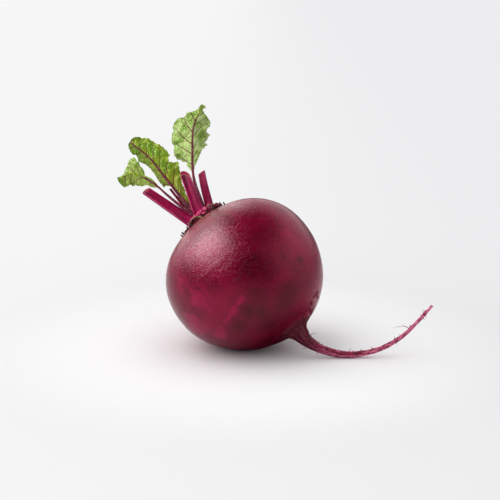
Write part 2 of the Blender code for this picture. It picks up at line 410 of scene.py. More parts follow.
def shoulder_coats(tree, place, mottle, cork):
    """Brown folds on the shoulder, then rings of cork, then the dark collar."""
    lengthwise = cloud(tree, stretch(tree, place, (1.3, 1.3, 0.22)), 1.0, 4.0, 0.6)
    rings = cloud(tree, stretch(tree, place, (0.22, 0.22, 1.1)), 1.0, 5.0, 0.65, bend=1.4)
    brown = times(tree, mark(tree, "shoulder"), spread(tree, lengthwise, 0.35, 0.65, 0.35, 1.0))
    cork_colour = coats(
        tree,
        CORK_TAN,
        (spread(tree, rings, 0.4, 0.62), CORK_BROWN),
        (spread(tree, lengthwise, 0.42, 0.62, 0.0, 0.95), SHOULDER_WINE),
        (spread(tree, mottle, 0.42, 0.6, 0.0, 0.6), SHOULDER_WINE),
    )
    return (brown, SHOULDER_BROWN), (cork, cork_colour), (mark(tree, "collar"), COLLAR_WINE)


def tail_colour(tree, place, fibres):
    """Painted shade at the neck, rosy where the tap root is thin, painted highlights on pink crests, wine
    bruises.
    """
    thin = mark(tree, "thin")
    # Pale pink on the ridge crests is a painted highlight.
    pink = times(tree, spread(tree, mark(tree, "ridge"), 0.4, 0.9, 0.4, 1.0), spread(tree, fibres, 0.38, 0.6))
    pink = times(tree, pink, spread(tree, thin, 0.0, 1.0, 0.15, 1.0))
    bruise = cloud(tree, stretch(tree, place, (0.8, 0.8, 0.45)), 1.1, 4.0, 0.65, bend=0.6)
    bruised = spread(tree, bruise, 0.5, 0.58, 0.0, 0.85)
    return coats(tree, TAIL_WINE_AND_NECK_SHADE, (thin, TAIL_ROSE), (pink, TAIL_PINK_AND_HIGHLIGHT), (bruised, TAIL_BRUISE))


print("colours of the cork and the tap root:", CORK_TAN, CORK_BROWN, TAIL_ROSE, TAIL_PINK_AND_HIGHLIGHT)

# %% Beet skin material
SKIN_SHINE = (0.12, 0.2)
CORK_DULL, TAIL_DULL, COLLAR_DULL = 0.55, 0.12, 0.3
CREASE_DEPTH, LEATHER_DEPTH, GROOVE_DEPTH, FIBRE_DEPTH = 0.18, 0.09, 0.02, 0.9


def make_skin():
    finish, tree, shader = new_finish("beet_skin_waxy", 0.3)
    place = mark(tree, "skin", whole=True)
    tail = mark(tree, "tail")
    mottle = cloud(tree, place, 0.22, 5.0, 0.62, bend=0.8)
    streaks = cloud(tree, stretch(tree, place, (0.25, 0.25, 1.4)), 1.0, 4.0, 0.6, bend=0.3)
    fibres = cloud(tree, stretch(tree, place, (1.0, 1.0, 0.18)), 1.2, 5.0, 0.65)
    ragged = cloud(tree, stretch(tree, place, (0.5, 0.5, 0.8)), 0.5, 6.0, 0.7, bend=0.8)
    cork = maths(tree, "ADD", mark(tree, "cork"), times(tree, ragged, 1.3))
    cork = spread(tree, cork, 0.9, 1.5, 0.0, 0.86)
    colour = coats(
        tree,
        bulb_colour(tree, place, mottle, streaks),
        *shoulder_coats(tree, place, mottle, cork),
        (tail, tail_colour(tree, place, fibres)),
    )
    plug(tree, shader.inputs["Base Color"], colour)
    rough = spread(tree, streaks, 0.3, 0.7, *SKIN_SHINE)
    for share, dull in ((cork, CORK_DULL), (tail, TAIL_DULL), (mark(tree, "collar"), COLLAR_DULL)):
        rough = maths(tree, "ADD", rough, times(tree, share, dull))
    plug(tree, shader.inputs["Roughness"], rough)
    smooth = maths(tree, "SUBTRACT", 1.0, tail)
    creases = cloud(tree, stretch(tree, place, (0.42, 0.42, 1.15)), 1.0, 3.0, 0.6, bend=1.5)
    leather = cloud(tree, place, 1.1, 2.0, 0.5, bend=0.8)
    warp = times(tree, cloud(tree, place, 0.5, 2.0, 0.5), 2.5)
    wrinkled = vectors(tree, "ADD", stretch(tree, place, (0.4, 0.4, 1.15)), warp)
    grooves = spread(tree, cells(tree, wrinkled, 0.9, "DISTANCE_TO_EDGE")["Distance"], 0.0, 0.2)
    relief(
        tree,
        shader,
        (times(tree, creases, smooth), CREASE_DEPTH),
        (leather, LEATHER_DEPTH),
        (times(tree, grooves, smooth), GROOVE_DEPTH),
        (times(tree, fibres, mark(tree, "rough")), FIBRE_DEPTH),
    )
    return finish


SKIN = make_skin()
print("skin nodes:", len(SKIN.node_tree.nodes))

# %% [markdown]
# ## The rings of the root
# The bulb and the tap root grew as one piece, so they are one mesh. A few rings carry the measured
# profile: the collar, two flattened quarter rounds for the bulb, the neck and a curve for the tap root.
# The rings between are filled in along the same smooth curves, which keeps the outline exact.

# %% Measurements of the root
BULB_RADIUS = 38.0
CROWN_HEIGHT = 31.5
ROOT_HEIGHT = 37.4
CROWN_POWERS = (2.17, 2.6)
ROOT_POWERS = (1.88, 2.0)
MIDDLE_SHIFT = -0.4
CROWN_SHIFT = -0.4
ROOT_SHIFT = 1.75
CROWN_ARC = range(76, -1, -4)
ROOT_ARC = (8, 16, 24, 32, 40, 48, 56, 62, 67, 71)
COLLAR = [(31.3, 12.1, -0.1), (32.3, 11.0, 0.3), (33.4, 10.2, 0.7), (34.5, 9.7, 0.9), (35.0, 9.1, 1.0)]
NECK = [(-36.3, 9.7, 1.9), (-37.0, 7.7, 2.2), (-37.7, 6.2, 2.6), (-38.5, 5.2, 2.9)]
TAIL_LINE = [
    (26.3, -18.1, 12.1, 4.2),
    (29.5, -18.8, 8.8, 2.8),
    (36.5, -18.8, 4.5, 2.05),
    (46.0, -18.4, 1.9, 1.65),
    (56.0, -18.2, 2.2, 1.3),
    (66.0, -18.3, 5.4, 1.1),
    (75.0, -18.6, 11.3, 0.9),
    (82.0, -19.0, 18.9, 0.75),
    (88.0, -19.5, 26.1, 0.6),
]
TAIL_STEPS = 32


def bulb_shift(w):
    """How far the bulb's middle line bows across at this distance along the axis."""
    end, shift = (CROWN_HEIGHT, CROWN_SHIFT) if w > 0 else (ROOT_HEIGHT, ROOT_SHIFT)
    return MIDDLE_SHIFT + (shift - MIDDLE_SHIFT) * min(abs(w) / end, 1.0) ** 2


def bulb_row(degrees, height, powers):
    """One ring of the bulb: how far along the axis it is, its radius and how far it bows across."""
    share = math.sin(math.radians(degrees))
    radius = BULB_RADIUS * (1 - share ** powers[0]) ** (1 / powers[1])
    return height * share, radius, bulb_shift(height * share)


def measured_stations():
    """Each ring of the measured profile: its middle, its two directions and its radius."""
    rows = COLLAR[::-1]
    rows += [bulb_row(degrees, CROWN_HEIGHT, CROWN_POWERS) for degrees in CROWN_ARC]
    rows += [bulb_row(degrees, -ROOT_HEIGHT, ROOT_POWERS) for degrees in ROOT_ARC]
    rows += NECK
    stations = [(crown_place(shift, 0, w), ACROSS, BEHIND, radius) for w, radius, shift in rows]
    for place, way in smooth_line(TAIL_LINE, TAIL_STEPS):
        way = way.xyz.normalized()
        across = (ACROSS - way * ACROSS.dot(way)).normalized()
        stations.append((place.xyz, across, across.cross(way), place.w))
    return stations


STATIONS = measured_stations()
print("measured rings:", len(STATIONS))

# %% Fill in the rings between the measured ones
RING_SPACING = 0.42
THINNEST = 0.3
SHORTEST_SPAN = 0.01


def rings_between(stations):
    """Steps along the curve from each station to the next, as many as the spacing asks for."""
    knots = with_ends([Vector((*middle, radius)) for middle, _, _, radius in stations])
    filled = []
    for span, (first, last) in enumerate(zip(stations, stations[1:])):
        gap = knots[span + 2] - knots[span + 1]
        steps = max(1, round(max(gap.xyz.length, abs(gap.w), SHORTEST_SPAN) / RING_SPACING))
        for step in range(steps):
            t = step / steps
            spot, _ = between_knots(*knots[span : span + 4], t)
            across, behind = (first[side].lerp(last[side], t).normalized() for side in (1, 2))
            filled.append((spot.xyz, across, behind, max(spot.w, THINNEST)))
    filled.append(stations[-1])
    return filled


ROOT_RINGS = rings_between(STATIONS)
print("rings in all:", len(ROOT_RINGS))

# %% [markdown]
# ## Painted shade, painted light and patches on the skin
# A beetroot is never one even crimson, and some of its patches are its own mottling. The wide shaded
# patches across the front of the bulb are painted shade, and the brighter ones on its left are painted
# light, as if lit from that side. A bright streak also runs down its front. Noise alone can't put such a
# patch where it belongs, so each one is a soft ball of colour with a middle, a reach and a strength.
# The streak is the same along a line, and noise frays its edge.

# %% Shaded and bright patches, and the streak
# each patch: u, v and w of its middle, its reach and its strength
# Most of these are painted shade across the front of the bulb; the two small blotches and the patches on the
# back are mottling.
PAINTED_SHADE_AND_MOTTLE = [
    (6.6, -35.4, -11.0, 12.0, 1.0),
    (16.7, -33.8, -1.8, 11.0, 0.75),
    (19.5, -29.5, 12.0, 9.0, 0.5),
    (-1.5, -31.5, -18.5, 5.0, 0.85),
    (-8.6, -27.2, -23.9, 6.0, 0.95),
    (-4.3, -25.3, -26.9, 7.0, 0.9),
    (-16.0, -22.7, -24.6, 5.5, 0.9),
    (-4.5, -18.7, -31.5, 9.0, 0.9),
    (-8.0, -3.8, -35.9, 10.0, 1.0),
    (8.0, -23.0, -28.0, 10.0, 0.85),
    (18.0, -18.0, -27.0, 8.0, 0.4),
    (19.1, -29.3, -13.4, 2.2, 0.9),
    (24.2, -22.3, -18.0, 2.2, 0.95),
    (-30.5, -16.0, 14.0, 7.0, 0.35),
    (14.0, 34.0, -4.0, 13.0, 0.6),
    (-24.0, 26.0, -12.0, 10.0, 0.5),
    (2.0, 26.0, -24.0, 11.0, 0.55),
    (30.0, 14.0, 12.0, 9.0, 0.45),
]
# Those on the left of the bulb are painted light; the ones on its back are mottling.
PAINTED_LIGHT_AND_MOTTLE = [
    (-26.4, -26.8, 7.2, 9.0, 0.34),
    (-23.2, -29.7, -5.4, 8.0, 0.5),
    (-32.8, -16.5, -9.5, 9.0, 0.5),
    (-26.2, -17.4, -19.9, 5.0, 0.5),
    (27.0, -25.0, -8.0, 9.0, 0.3),
    (-8.0, 35.0, 6.0, 10.0, 0.4),
    (24.0, 26.0, -8.0, 9.0, 0.35),
    (-14.0, 24.0, -24.0, 6.0, 0.45),
]
STREAK = [(-26.2, -17.4, -19.9), (-20.5, -24.4, -19.8), (-12.6, -29.8, -18.6), (-6.0, -32.2, -18.1)]
STREAK_REACH = 1.9
STREAK_STRENGTH = 0.4
STREAK_FRAY = 2.2
STREAK_SPOTS = [crown_place(*spot) for spot in STREAK]


def streak_here(place):
    """How strongly the bright streak tells here. It frays a little at its edges."""
    nearest = math.inf
    for start, end in zip(STREAK_SPOTS, STREAK_SPOTS[1:]):
        spot, share = geometry.intersect_point_line(place, start, end)
        spot = start.lerp(end, min(max(share, 0.0), 1.0))
        nearest = min(nearest, (place - spot).length)
    frayed = nearest + STREAK_FRAY * noise.noise(place * 0.3)
    return STREAK_STRENGTH * math.exp(-((max(frayed, 0.0) / STREAK_REACH) ** 2))


def patch_here(place, patches):
    """How strongly the nearest patch of skin tells here."""
    strongest = 0.0
    for u, v, w, reach, strength in patches:
        far = (place - crown_place(u, v, w)).length / reach
        strongest = max(strongest, strength * math.exp(-(far**2)))
    return strongest


print("patches:", len(PAINTED_SHADE_AND_MOTTLE), "shaded and", len(PAINTED_LIGHT_AND_MOTTLE), "bright")

# %% [markdown]
# ## The bulb and its tap root
# Now the rings become skin. Each corner is pushed in or out a little: faint lumps on the bulb, folds at
# the collar and twisted ridges down the tap root. It also gets its marks, from how corky it is to which
# patch it lies in. A plane then slices off the lowest part, because the bulb rests on a small flat spot.

# %% Shape the surface of the root
ROOT_SIDES = 208
LUMP_HEIGHT = 0.14
CROWN_END = (20.0, 25.0)
SHOULDER_RISE, SHOULDER_WANDER = (20.5, 28.0), 4
CORK_REACH, CORK_WANDER = (30.0, 16.0), (9, 5)
COLLAR_EDGE, COLLAR_WANDER = (12.3, 11.7), 0.8
FOLD_REACH, FOLD_HEIGHT = (13.5, 11.5), 0.5
TAIL_START = 97.0
TAIL_ONSET = 5
TAIL_THINS = (12, 34)
TAIL_TWIST = 0.035
COARSE_RIDGES = (1.9, 0.09)
FINE_RIDGES = (4.5, 0.3)
RIDGE_DEPTH = 0.2


def tail_ridge(turn, along):
    """How high the ridges of the tap root stand here, from 0 in a groove to 1 on a crest."""
    turned = turn + TAIL_TWIST * along
    coarse, fine = (
        noise.noise(Vector((math.cos(turned) * around, math.sin(turned) * around, along * lengthwise)))
        for around, lengthwise in (COARSE_RIDGES, FINE_RIDGES)
    )
    return 1 - abs(coarse) * 2.6 + fine * 0.35


def root_corner(middle, out, radius, along, turn):
    """One corner of a ring, pushed out of true, and its marks."""
    place = middle + out * radius
    w = (middle - BULB_CENTRE).dot(AXIS_OUT)
    skin = Vector((math.cos(turn) * radius, math.sin(turn) * radius, along))
    tail = ease(TAIL_START, TAIL_START + TAIL_ONSET, along)
    thin = ease(TAIL_START + TAIL_THINS[0], TAIL_START + TAIL_THINS[1], along)
    near_crown = ease(*CROWN_END, w)
    wavy = noise.noise(Vector((skin.x * 0.16, skin.y * 0.16, 3.0)))
    uneven = noise.noise(place * 0.12)
    folds = noise.noise(Vector((math.cos(turn) * 5, math.sin(turn) * 5, along * 0.2)))
    low, high = (reach + uneven * wander for reach, wander in zip(CORK_REACH, CORK_WANDER))
    corky = ease(low, high, radius) * near_crown
    inner, outer = (edge + wavy * COLLAR_WANDER for edge in COLLAR_EDGE)
    ridge = tail_ridge(turn, along)
    push = noise.noise(skin * 0.07) * LUMP_HEIGHT * (1 - tail)
    push += folds * FOLD_HEIGHT * ease(*FOLD_REACH, radius) * near_crown
    push += RIDGE_DEPTH * min(radius, 4.0) ** 0.75 * tail * (ridge - 0.6)
    marks = {
        "skin": skin,
        "shoulder": ease(SHOULDER_RISE[0] + wavy * SHOULDER_WANDER, SHOULDER_RISE[1], w) * (1 - tail),
        "cork": corky,
        "collar": ease(inner, outer, radius) * near_crown,
        "tail": tail,
        "thin": thin,
        "ridge": ridge,
        "rough": max(tail, corky * 0.35),
        # The shaded and bright marks carry painted shade and painted light, with some mottling.
        "shaded": patch_here(place, PAINTED_SHADE_AND_MOTTLE),
        "bright": max(patch_here(place, PAINTED_LIGHT_AND_MOTTLE), streak_here(place)),
    }
    return place + out * push, marks


def surface_of_root():
    """Places and marks for every ring of the root. Along is the distance over the skin from the crown."""
    rings, marks = [], []
    along = 0.0
    last_middle, _, _, last_radius = ROOT_RINGS[0]
    for middle, across, behind, radius in ROOT_RINGS:
        along += math.hypot((middle - last_middle).length, radius - last_radius)
        last_middle, last_radius = middle, radius
        corners = []
        for side in range(ROOT_SIDES):
            turn = 2 * math.pi * side / ROOT_SIDES
            out = across * math.cos(turn) + behind * math.sin(turn)
            corners.append(root_corner(middle, out, radius, along, turn))
        rings.append([place for place, _ in corners])
        marks.append([mark_set for _, mark_set in corners])
    print("length of skin from crown to tip:", round(along, 1), "mm")
    return rings, marks


root_mesh = grow(*surface_of_root())
slice_off(root_mesh, Vector((0, 0, 0)), -UP)
ROOT_SURFACE = bvhtree.BVHTree.FromBMesh(root_mesh)
set_down("beet_root_skin", root_mesh, SKIN, ["beet_root"])

# %% [markdown]
# ## Finish of the stalks
# Beet stalks are juicy ribs: glossy magenta skin over long fibres. Their crests are paler, partly their own
# pink and partly painted highlight lines, and their darker grooves are painted shade. The knife left ends
# that show crimson pith inside a beige rim. Two marks steer this: fibre unrolls the stalk's surface, and
# pith is 0 on the skin and grows to 1 in the middle of a cut.

# %% Stalk material
STALK_CRIMSON = (0.25, 0.0012, 0.052)
STALK_DARK = (0.10, 0.0006, 0.022)
STALK_MAGENTA = (0.36, 0.004, 0.12)
# The pale pink lines on the crests are a painted highlight.
STALK_PAINTED_HIGHLIGHT = (0.62, 0.22, 0.32)
STALK_FOOT = (0.52, 0.012, 0.15)
RIM_BEIGE = (0.52, 0.40, 0.24)
PITH_CRIMSON = (0.27, 0.01, 0.05)
STALK_GLOSS = 0.2
STALK_SHINE = (0.2, 0.34)


def make_stalk_finish():
    finish, tree, shader = new_finish("stalk_glossy", 0.34)
    shader.inputs["Specular IOR Level"].default_value = STALK_GLOSS
    place = mark(tree, "fibre", whole=True)
    crest = mark(tree, "crest")
    pith = mark(tree, "pith")
    fibres = cloud(tree, stretch(tree, place, (1.1, 1.1, 0.06)), 1.0, 4.0, 0.6)
    broad = cloud(tree, stretch(tree, place, (0.45, 0.45, 0.03)), 1.0, 2.0, 0.5)
    speckle = cloud(tree, place, 2.2, 3.0, 0.6)
    # Painted highlight: pale lines along the crests.
    pale = times(tree, spread(tree, crest, 0.8, 1.0), spread(tree, broad, 0.42, 0.6, 0.0, 0.6))
    foot = times(tree, mark(tree, "foot"), spread(tree, broad, 0.35, 0.6, 0.2, 0.7))
    juicy = spread(tree, speckle, 0.5, 0.7, 0.0, 0.5)
    cut = coats(tree, RIM_BEIGE, (spread(tree, pith, 0.55, 0.8), PITH_CRIMSON), (juicy, STALK_MAGENTA))
    colour = coats(
        tree,
        STALK_DARK,
        (spread(tree, broad, 0.38, 0.6), STALK_CRIMSON),
        # Magenta on the crests is partly painted light, and the grooves stay darker as painted shade.
        (times(tree, crest, 0.55), STALK_MAGENTA),
        (spread(tree, fibres, 0.52, 0.75, 0.0, 0.3), STALK_MAGENTA),
        (pale, STALK_PAINTED_HIGHLIGHT),
        (spread(tree, speckle, 0.6, 0.75, 0.0, 0.3), STALK_DARK),
        (foot, STALK_FOOT),
        (spread(tree, pith, 0.1, 0.3), cut),
    )
    plug(tree, shader.inputs["Base Color"], colour)
    plug(tree, shader.inputs["Roughness"], spread(tree, fibres, 0.3, 0.7, *STALK_SHINE))
    relief(tree, shader, (fibres, 0.16), (speckle, 0.12))
    return finish


STALK = make_stalk_finish()
print("stalk nodes:", len(STALK.node_tree.nodes))

# %% [markdown]
# ## Cut stalks
# Each stalk is a rib with a channel down the side that faces its leaf's upper side, like a celery stick.
# Its rings are swept along a gentle curve. The outline of a ring gets small ridges, so that the fibres
# catch light as real geometry. The end is sliced at the slope the knife had, and the cut face is inset
# twice to make the rim and the slightly sunken pith.

# %% Measurements of the cut stalks
STALK_FLATNESS = 0.8
STALK_SKIN = 0.16
FRONT_BULGE = 0.75
BEYOND_CUT = 8.0
STALKS = {
    "cut_stalk_left": {
        "line": [(-4.1, -3.0, 34.0), (-8.9, -3.0, 50.3), (-12.8, -3.0, 63.6)],
        "half_width": (2.7, 2.25),
        "channel": 0.25,
        "front": (0.2, -0.9, 0.1),
        "slope": (0.1, 0.9),
    },
    "cut_stalk_thin": {
        "line": [(-3.0, 5.9, 34.0), (-3.2, 6.4, 48.0), (-3.1, 7.0, 60.4)],
        "half_width": (0.85, 0.55),
        "channel": 0.2,
        "front": (0.3, -0.9, 0.0),
        "slope": (0.3, 0.0),
    },
    "cut_stalk_middle": {
        "line": [(0.0, -5.0, 34.0), (4.0, -4.6, 47.1), (6.9, -3.6, 56.9)],
        "half_width": (2.9, 2.35),
        "channel": 0.75,
        "front": (-0.15, -0.95, 0.0),
        "slope": (0.8, 1.7),
    },
    "cut_stalk_right": {
        "line": [(5.2, -0.2, 34.0), (10.5, 0.0, 46.8), (14.1, 0.2, 54.4)],
        "half_width": (2.2, 1.8),
        "channel": 0.25,
        "front": (-0.25, -0.95, 0.0),
        "slope": (-0.25, 0.7),
    },
}
STALK_STEPS = 60
STALK_POINTS = 44
RIDGE_HEIGHT = 0.05
RIDGES_ACROSS = 5
FACES_APART = 7
RIM_SHARE = 0.2
PITH_SINK = 0.12
print("cut stalks:", len(STALKS))


# %% Sweep a channelled rib and trim it
def between(ends, share):
    return ends[0] + (ends[1] - ends[0]) * min(share, 1.0)


def stalk_ring(spot, way, front, rib, channel, share):
    """A ring round a stalk: its channelled front face, then its round back, with the marks of each corner."""
    across = way.cross(front).normalized()
    out = across.cross(way).normalized()
    ring, marks = [], []
    for face in (1, -1):
        for step in range(STALK_POINTS):
            q = -math.cos(math.pi * (step + 0.5) / STALK_POINTS) * face
            x = q * rib
            inside = math.sqrt(max(0.0, 1 - q * q))
            bulge = STALK_FLATNESS * rib * inside
            if face > 0:
                rise = STALK_SKIN / 2 + bulge * FRONT_BULGE - channel * rib * inside**2
            else:
                rise = -STALK_SKIN / 2 - bulge
            wave = math.cos(math.pi * RIDGES_ACROSS * q + 0.6 * math.sin(share * 5 + q * 4))
            rise += face * wave * RIDGE_HEIGHT * inside * min(1.0, rib / 1.5)
            edge = ease(0.62, 0.86, abs(q)) * (1 - ease(0.93, 1.0, abs(q)))
            ring.append(spot + across * x + out * rise)
            marks.append({
                "fibre": Vector((x + FACES_APART * face, rise, share * 40)),
                "crest": edge if face > 0 else 0.35 + 0.35 * wave,
                "pith": 0.0,
                "foot": 1 - ease(0.05, 0.3, share),
            })
    return ring, marks


def dress_cut(mesh, cut, rim):
    """Insets a cut face twice, for its rim and its sunken pith."""
    layer = mesh.verts.layers.float["pith"]
    for share, sink, pith in ((0.35, 0.0, 0.5), (0.65, PITH_SINK, 1.0)):
        bmesh.ops.inset_region(mesh, faces=cut, thickness=rim * share * MM, depth=-sink * MM)
        for face in cut:
            for vert in face.verts:
                vert[layer] = pith
    bmesh.ops.triangulate(mesh, faces=cut)


def make_cut_stalk(name, stalk):
    front = crown_way(*stalk["front"])
    line = smooth_line([crown_place(*place) for place in stalk["line"]], STALK_STEPS)
    tip, way = line[-1]
    way.normalize()
    line.append((tip + way * BEYOND_CUT, way))
    rings, marks = [], []
    for step, (spot, heading) in enumerate(line):
        share = step / STALK_STEPS
        rib = between(stalk["half_width"], share)
        ring, ring_marks = stalk_ring(spot, heading, front, rib, stalk["channel"], share)
        rings.append(ring)
        marks.append(ring_marks)
    mesh = grow(rings, marks)
    across = way.cross(front).normalized()
    slope_across, slope_front = stalk["slope"]
    cut = slice_off(mesh, tip, way + across * slope_across + across.cross(way) * slope_front)
    dress_cut(mesh, cut, RIM_SHARE * stalk["half_width"][1])
    set_down(f"{name}_fibrous", mesh, STALK, [name])


for stalk_name, facts in STALKS.items():
    make_cut_stalk(stalk_name, facts)

# %% [markdown]
# ## Finish of the leaves
# A young beet leaf is bright green and a little waxy. Soft pale patches painted into its colour stand in
# for the sky of the studio that it mirrors, and its underside is paler of its own. Crimson veins leave the
# midrib and bend towards the tip. The vein mark counts them: it is a whole number on each vein, so its
# distance from the nearest whole number draws them all at once.
# A second mark gives the distance from the midrib, which turns the rib itself crimson.

# %% Leaf material
LEAF_GREEN = (0.14, 0.26, 0.008)
LEAF_YELLOW = (0.26, 0.34, 0.012)
LEAF_DEEP = (0.065, 0.14, 0.008)
# The pale green is the paler underside and its veinlets, and also a painted sheen on the upper side.
LEAF_PALE_AND_PAINTED_SHEEN = (0.44, 0.54, 0.25)
VEIN_WINE = (0.13, 0.012, 0.03)
RIB_WINE = (0.12, 0.004, 0.025)
RIB_PINK = (0.34, 0.02, 0.10)
OLD_OLIVE = (0.25, 0.22, 0.012)
LEAF_GLOSS = 0.45
LEAF_SHINE = (0.33, 0.47)


def vein_share(tree, margin):
    """Where the veins are: narrower towards the margin, and none before the first one."""
    vein = mark(tree, "vein")
    from_vein = maths(tree, "ABSOLUTE", maths(tree, "SUBTRACT", vein, maths(tree, "ROUND", vein)))
    vein_width = spread(tree, margin, 0.0, 1.0, 0.065, 0.03)
    on_vein = spread(tree, maths(tree, "DIVIDE", from_vein, vein_width), 1.3, 0.5)
    on_vein = times(tree, on_vein, spread(tree, margin, 0.95, 0.75))
    return times(tree, on_vein, spread(tree, vein, -0.4, -0.2))


def make_leaf_finish():
    finish, tree, shader = new_finish("leaf_waxy", 0.36)
    shader.inputs["Specular IOR Level"].default_value = LEAF_GLOSS
    place = mark(tree, "leaf", whole=True)
    margin = mark(tree, "margin")
    rib = mark(tree, "rib")
    broad = cloud(tree, place, 0.16, 4.0, 0.55, bend=0.4)
    fine = cloud(tree, place, 0.9, 4.0, 0.6)
    crumples = cloud(tree, place, 0.38, 2.0, 0.5, bend=0.8)
    fibres = cloud(tree, stretch(tree, place, (1.2, 0.08, 1.0)), 1.0, 3.0, 0.6)
    net = cells(tree, place, 0.75, "DISTANCE_TO_EDGE")["Distance"]
    on_vein = vein_share(tree, margin)
    rosy = times(tree, spread(tree, fibres, 0.45, 0.7), mark(tree, "stalk"))
    rib_colour = coats(tree, RIB_WINE, (rosy, RIB_PINK), (mark(tree, "green_rib"), LEAF_YELLOW))
    colour = coats(
        tree,
        LEAF_GREEN,
        (spread(tree, broad, 0.35, 0.65), LEAF_YELLOW),
        (spread(tree, fine, 0.5, 0.75, 0.0, 0.35), LEAF_DEEP),
        # Pale patches: a painted sheen on the upper side, and the paler underside.
        (times(tree, mark(tree, "pale"), spread(tree, broad, 0.36, 0.58, 0.2, 1.0)), LEAF_PALE_AND_PAINTED_SHEEN),
        (mark(tree, "aged"), OLD_OLIVE),
        (spread(tree, margin, 0.9, 1.0, 0.0, 0.45), LEAF_DEEP),
        (spread(tree, net, 0.06, 0.0, 0.0, 0.25), LEAF_PALE_AND_PAINTED_SHEEN),
        (times(tree, on_vein, 0.85), VEIN_WINE),
        (spread(tree, rib, 0.35, 0.75), rib_colour),
    )
    plug(tree, shader.inputs["Base Color"], colour)
    plug(tree, shader.inputs["Roughness"], spread(tree, fine, 0.3, 0.7, *LEAF_SHINE))
    relief(
        tree,
        shader,
        (times(tree, fibres, rib), 0.4),
        (spread(tree, net, 0.0, 0.25), 0.12),
        (times(tree, on_vein, -1.0), 0.12),
        (crumples, 0.7),
        (fine, 0.1),
    )
    return finish


LEAF = make_leaf_finish()
print("leaf nodes:", len(LEAF.node_tree.nodes))

# %% [markdown]
# ## Measurements of the leaves
# The line of a leaf runs from the foot of its stalk to its tip in the crown frame. Left and right give
# the outline of each side as pairs: a share of the way to the tip, and how wide the blade is there, with
# the notches and teeth that the leaf shows. Veins gives the shares at which veins leave the midrib.

# %% The upright and the leaning leaf
LEAVES = {}
LEAVES["leaf_upright"] = {
    "line": [
        (2.2, 2.4, 34.0),
        (5.8, 4.0, 46.3),
        (10.0, 6.3, 58.0),
        (17.0, 7.9, 68.8),
        (25.3, 7.6, 78.9),
        (35.9, 4.8, 84.0),
    ],
    "rib": (1.4, 0.22),
    "left": [
        (0.42, 0.0), (0.525, 3.0), (0.55, 5.8), (0.57, 8.6), (0.595, 10.0), (0.655, 10.6), (0.675, 10.2),
        (0.695, 11.8), (0.745, 12.0), (0.765, 11.4), (0.79, 12.4), (0.815, 12.0), (0.835, 10.0),
        (0.85, 7.2), (0.875, 7.0), (0.905, 4.4), (0.93, 2.4), (0.96, 1.2), (1.0, 0.5),
    ],
    "right": [
        (0.42, 0.0), (0.47, 0.6), (0.53, 2.0), (0.56, 3.0), (0.62, 4.6), (0.645, 6.0), (0.665, 7.6),
        (0.69, 6.4), (0.715, 7.2), (0.745, 9.2), (0.78, 7.2), (0.81, 7.2), (0.86, 7.8), (0.9, 6.8),
        (0.925, 4.4), (0.945, 2.2), (0.965, 0.7), (0.985, 2.4), (1.0, 1.4),
    ],
    "turn": (math.radians(18), math.radians(24)),
    "front": (0.15, -1.0, 0.1),
    "veins": ([0.50, 0.585, 0.665, 0.76, 0.85], [0.55, 0.625, 0.72, 0.81, 0.89]),
    "lean": (0.75, 1.7),
    "wave": (0.5, 0.8),
    "waves": 5.0,
    "pale": (0.6, 0.95),
    "rib_fade": (0.84, 0.95),
    "aged": 0.0,
}
LEAVES["leaf_leaning"] = {
    "line": [(-1.2, 2.6, 34.0), (-1.5, 2.9, 49.0), (-1.6, 3.3, 64.0), (-1.7, 3.9, 79.0), (-4.5, 5.8, 93.1)],
    "rib": (1.3, 0.22),
    "left": [
        (0.4, 0.0), (0.435, 0.4), (0.47, 2.2), (0.49, 4.8), (0.575, 5.2), (0.615, 4.6), (0.68, 4.6),
        (0.75, 4.8), (0.815, 6.4), (0.865, 7.0), (0.895, 4.4), (0.945, 5.4), (0.985, 4.0), (1.0, 1.6),
    ],
    "right": [
        (0.1, 0.0), (0.275, 2.2), (0.37, 4.0), (0.475, 6.8), (0.535, 8.8), (0.59, 10.2), (0.61, 7.6),
        (0.63, 6.4), (0.655, 7.2), (0.675, 9.0), (0.735, 9.2), (0.78, 8.8), (0.815, 8.0), (0.845, 8.0),
        (0.91, 7.2), (0.97, 5.2), (0.99, 3.4), (1.0, 1.4),
    ],
    "turn": (math.radians(50), math.radians(16)),
    "front": (0.0, -1.0, 0.2),
    "veins": ([0.45, 0.53, 0.61, 0.69, 0.77, 0.85, 0.93], [0.20, 0.31, 0.42, 0.52, 0.615, 0.70, 0.79, 0.87]),
    "lean": (0.8, 1.25),
    "wave": (0.35, 0.55),
    "waves": 9.0,
    "pale": (0.1, 0.0),
    "rib_fade": (1.1, 1.2),
    "aged": 1.0,
}
print("large leaves:", list(LEAVES))

# %% The folded and the young leaf
LEAVES["leaf_folded"] = {
    "line": [
        (-1.4, -0.5, 34.0),
        (-3.7, 0.1, 44.9),
        (-5.9, 1.0, 55.9),
        (-8.0, 1.5, 66.6),
        (-12.9, 0.7, 76.6),
        (-20.6, 0.2, 79.0),
    ],
    "rib": (1.25, 0.22),
    "left": [
        (0.5, 0.0), (0.625, 2.2), (0.7, 4.8), (0.8, 6.0), (0.925, 5.4), (0.975, 4.8), (0.99, 2.8),
        (1.0, 1.0),
    ],
    "right": [
        (0.5, 0.0), (0.64, 1.4), (0.685, 1.2), (0.755, 5.2), (0.795, 8.2), (0.815, 11.0), (0.835, 10.0),
        (0.86, 5.4), (0.905, 1.6), (0.955, 0.8), (1.0, 0.6),
    ],
    "turn": (math.radians(25), math.radians(20)),
    "front": (0.1, -1.0, 0.1),
    "veins": ([0.6, 0.7, 0.8, 0.9], [0.66, 0.72, 0.78, 0.85]),
    "lean": (0.8, 0.8),
    "wave": (0.3, 0.4),
    "waves": 5.0,
    "pale": (0.3, 0.35),
    "rib_fade": (0.66, 0.74),
    "aged": 0.0,
}
